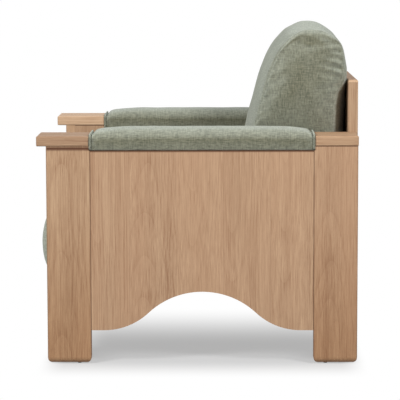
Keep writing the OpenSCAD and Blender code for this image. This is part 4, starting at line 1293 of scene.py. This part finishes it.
# The floor's shaded part fades to white: an axis, where it is white and where it is full
FLOOR_FADE = ((0, -0.46, 0.14), (0, 0.59, 0.36), (1, -0.405, -0.33), (1, 0.43, 0.355))
# How far the shaded part is on its way to plain white, and how much light the rest of it gives back
FLOOR_GLOW = 0.43
FLOOR_SHADE = 0.45
WHITE = (1.0, 1.0, 1.0)
# Lamps: place and power of each, and what is the same for both
LAMPS = {"front_side_light": ((3.1, -2.9, 3.3), 176.0), "rear_side_light": ((3.1, 2.9, 3.3), 150.0)}
LAMP_TARGET, LAMP_SPAN = (0.0, 0.0, 0.35), 1.2
# Light from all round: its colour and strength
SOFT_LIGHT, SOFT_STRENGTH = (0.97, 0.985, 1.0), 0.36


def seen_ray(tree):
    """1 for what the camera sees, also through a gloss or glass, and 0 for what lights the chair."""
    ray = node(tree, "ShaderNodeLightPath").outputs
    through = Value(ray["Is Glossy Ray"]).step("MAXIMUM", ray["Is Transmission Ray"])
    return Value(ray["Is Camera Ray"]).step("MAXIMUM", through)


class CHAIR_OT_stage(Operator):
    """Set the floor, the light and the camera at the photograph's angle"""

    bl_idname = "chair.stage"
    bl_label = "Stage"

    def execute(self, context):
        scene = context.scene
        scene.view_settings.view_transform = "Standard"
        self.floor()
        self.world(scene)
        for name, (place, power) in LAMPS.items():
            self.lamp(name, place, power)
        self.camera(scene)
        return {"FINISHED"}

    def floor(self):
        work = bmesh.new()
        bmesh.ops.create_grid(work, x_segments=8, y_segments=8, size=30.0)
        obj = add_worked("floor", work)
        made, tree, shader = material("pale_floor")
        for name, value in (("Base Color", dimmed(colours().floor, FLOOR_SHADE)), ("Roughness", 0.9),
                            ("Specular IOR Level", 0.1)):
            feed(tree, value, shader.inputs[name])
        glow = node(tree, "ShaderNodeEmission", {"Color": WHITE, "Strength": 1.0})
        axis = separate(tree, object_place(tree))
        kept = 1.0
        for i, white, full in FLOOR_FADE:
            fade = node(tree, "ShaderNodeMapRange", {0: axis[i], 1: white, 2: full},
                        interpolation_type="SMOOTHSTEP")
            kept = Value(fade.outputs[0]) * kept
        share = seen_ray(tree) * (1.0 - kept * (1.0 - FLOOR_GLOW))
        mix = node(tree, "ShaderNodeMixShader", {0: share, 1: shader.outputs[0], 2: glow.outputs[0]})
        out = next(n for n in tree.nodes if n.type == "OUTPUT_MATERIAL")
        tree.links.new(mix.outputs[0], out.inputs["Surface"])
        obj.data.materials.append(made)

    def world(self, scene):
        world = bpy.data.worlds.new("studio")
        scene.world = world
        world.use_nodes = True
        tree = world.node_tree
        tree.nodes.clear()
        seen = seen_ray(tree)
        soft = node(tree, "ShaderNodeBackground", {0: SOFT_LIGHT, 1: SOFT_STRENGTH})
        white = node(tree, "ShaderNodeBackground", {0: WHITE, 1: 1.0})
        mix = node(tree, "ShaderNodeMixShader", {0: seen, 1: soft.outputs[0], 2: white.outputs[0]})
        node(tree, "ShaderNodeOutputWorld", {"Surface": mix.outputs[0]})

    def lamp(self, name, place, power):
        light = bpy.data.lights.new(name, "AREA")
        light.shape = "RECTANGLE"
        light.size = light.size_y = LAMP_SPAN
        light.energy = power
        obj = add_object(name, light)
        obj.location = place
        obj.rotation_euler = (Vector(LAMP_TARGET) - Vector(place)).to_track_quat("-Z", "Y").to_euler()

    def camera(self, scene):
        data = bpy.data.cameras.new("camera")
        data.lens, data.sensor_width = LENS, 36.0
        data.clip_start, data.clip_end = 0.1, 100.0
        obj = add_object("camera", data)
        yaw, pitch, roll = (math.radians(a) for a in CAMERA_TURN)
        ahead = Vector((-math.cos(pitch) * math.cos(yaw), math.cos(pitch) * math.sin(yaw),
                        -math.sin(pitch)))
        right = ahead.cross(Vector((0, 0, 1))).normalized()
        up = right.cross(ahead)
        turned_right = math.cos(roll) * right + math.sin(roll) * up
        turned_up = -math.sin(roll) * right + math.cos(roll) * up
        turn = Matrix((turned_right, turned_up, -ahead)).transposed()
        obj.matrix_world = Matrix.Translation(Vector(CAMERA_PLACE)) @ turn.to_4x4()
        scene.camera = obj


class CHAIR_PT_panel(Panel):
    """Lists the steps that dress the chair"""

    bl_idname = "CHAIR_PT_panel"
    bl_label = "Oak Lounge Chair"
    bl_space_type = "VIEW_3D"
    bl_region_type = "UI"
    bl_category = "Chair"

    def draw(self, context):
        layout = self.layout
        for step in STEPS:
            layout.operator(step.bl_idname)
        for group in (context.scene.chair_sizes, context.scene.chair_colours):
            box = layout.box()
            for name in group.__annotations__:
                box.prop(group, name)


STEPS = (CHAIR_OT_stage, CHAIR_OT_oak, CHAIR_OT_inner_frame, CHAIR_OT_arm_pads, CHAIR_OT_piping,
         CHAIR_OT_seat_cushion, CHAIR_OT_back_cushion, CHAIR_OT_zips)
CLASSES = (ChairSizes, ChairColours, *STEPS, CHAIR_PT_panel)


def register():
    for made in CLASSES:
        bpy.utils.register_class(made)
    bpy.types.Scene.chair_sizes = PointerProperty(type=ChairSizes)
    bpy.types.Scene.chair_colours = PointerProperty(type=ChairColours)


def unregister():
    del bpy.types.Scene.chair_colours
    del bpy.types.Scene.chair_sizes
    for made in reversed(CLASSES):
        bpy.utils.unregister_class(made)


def main():
    register()
    for step in STEPS:
        group, name = step.bl_idname.split(".")
        getattr(getattr(bpy.ops, group), name)()


if __name__ == "__main__":
    main()
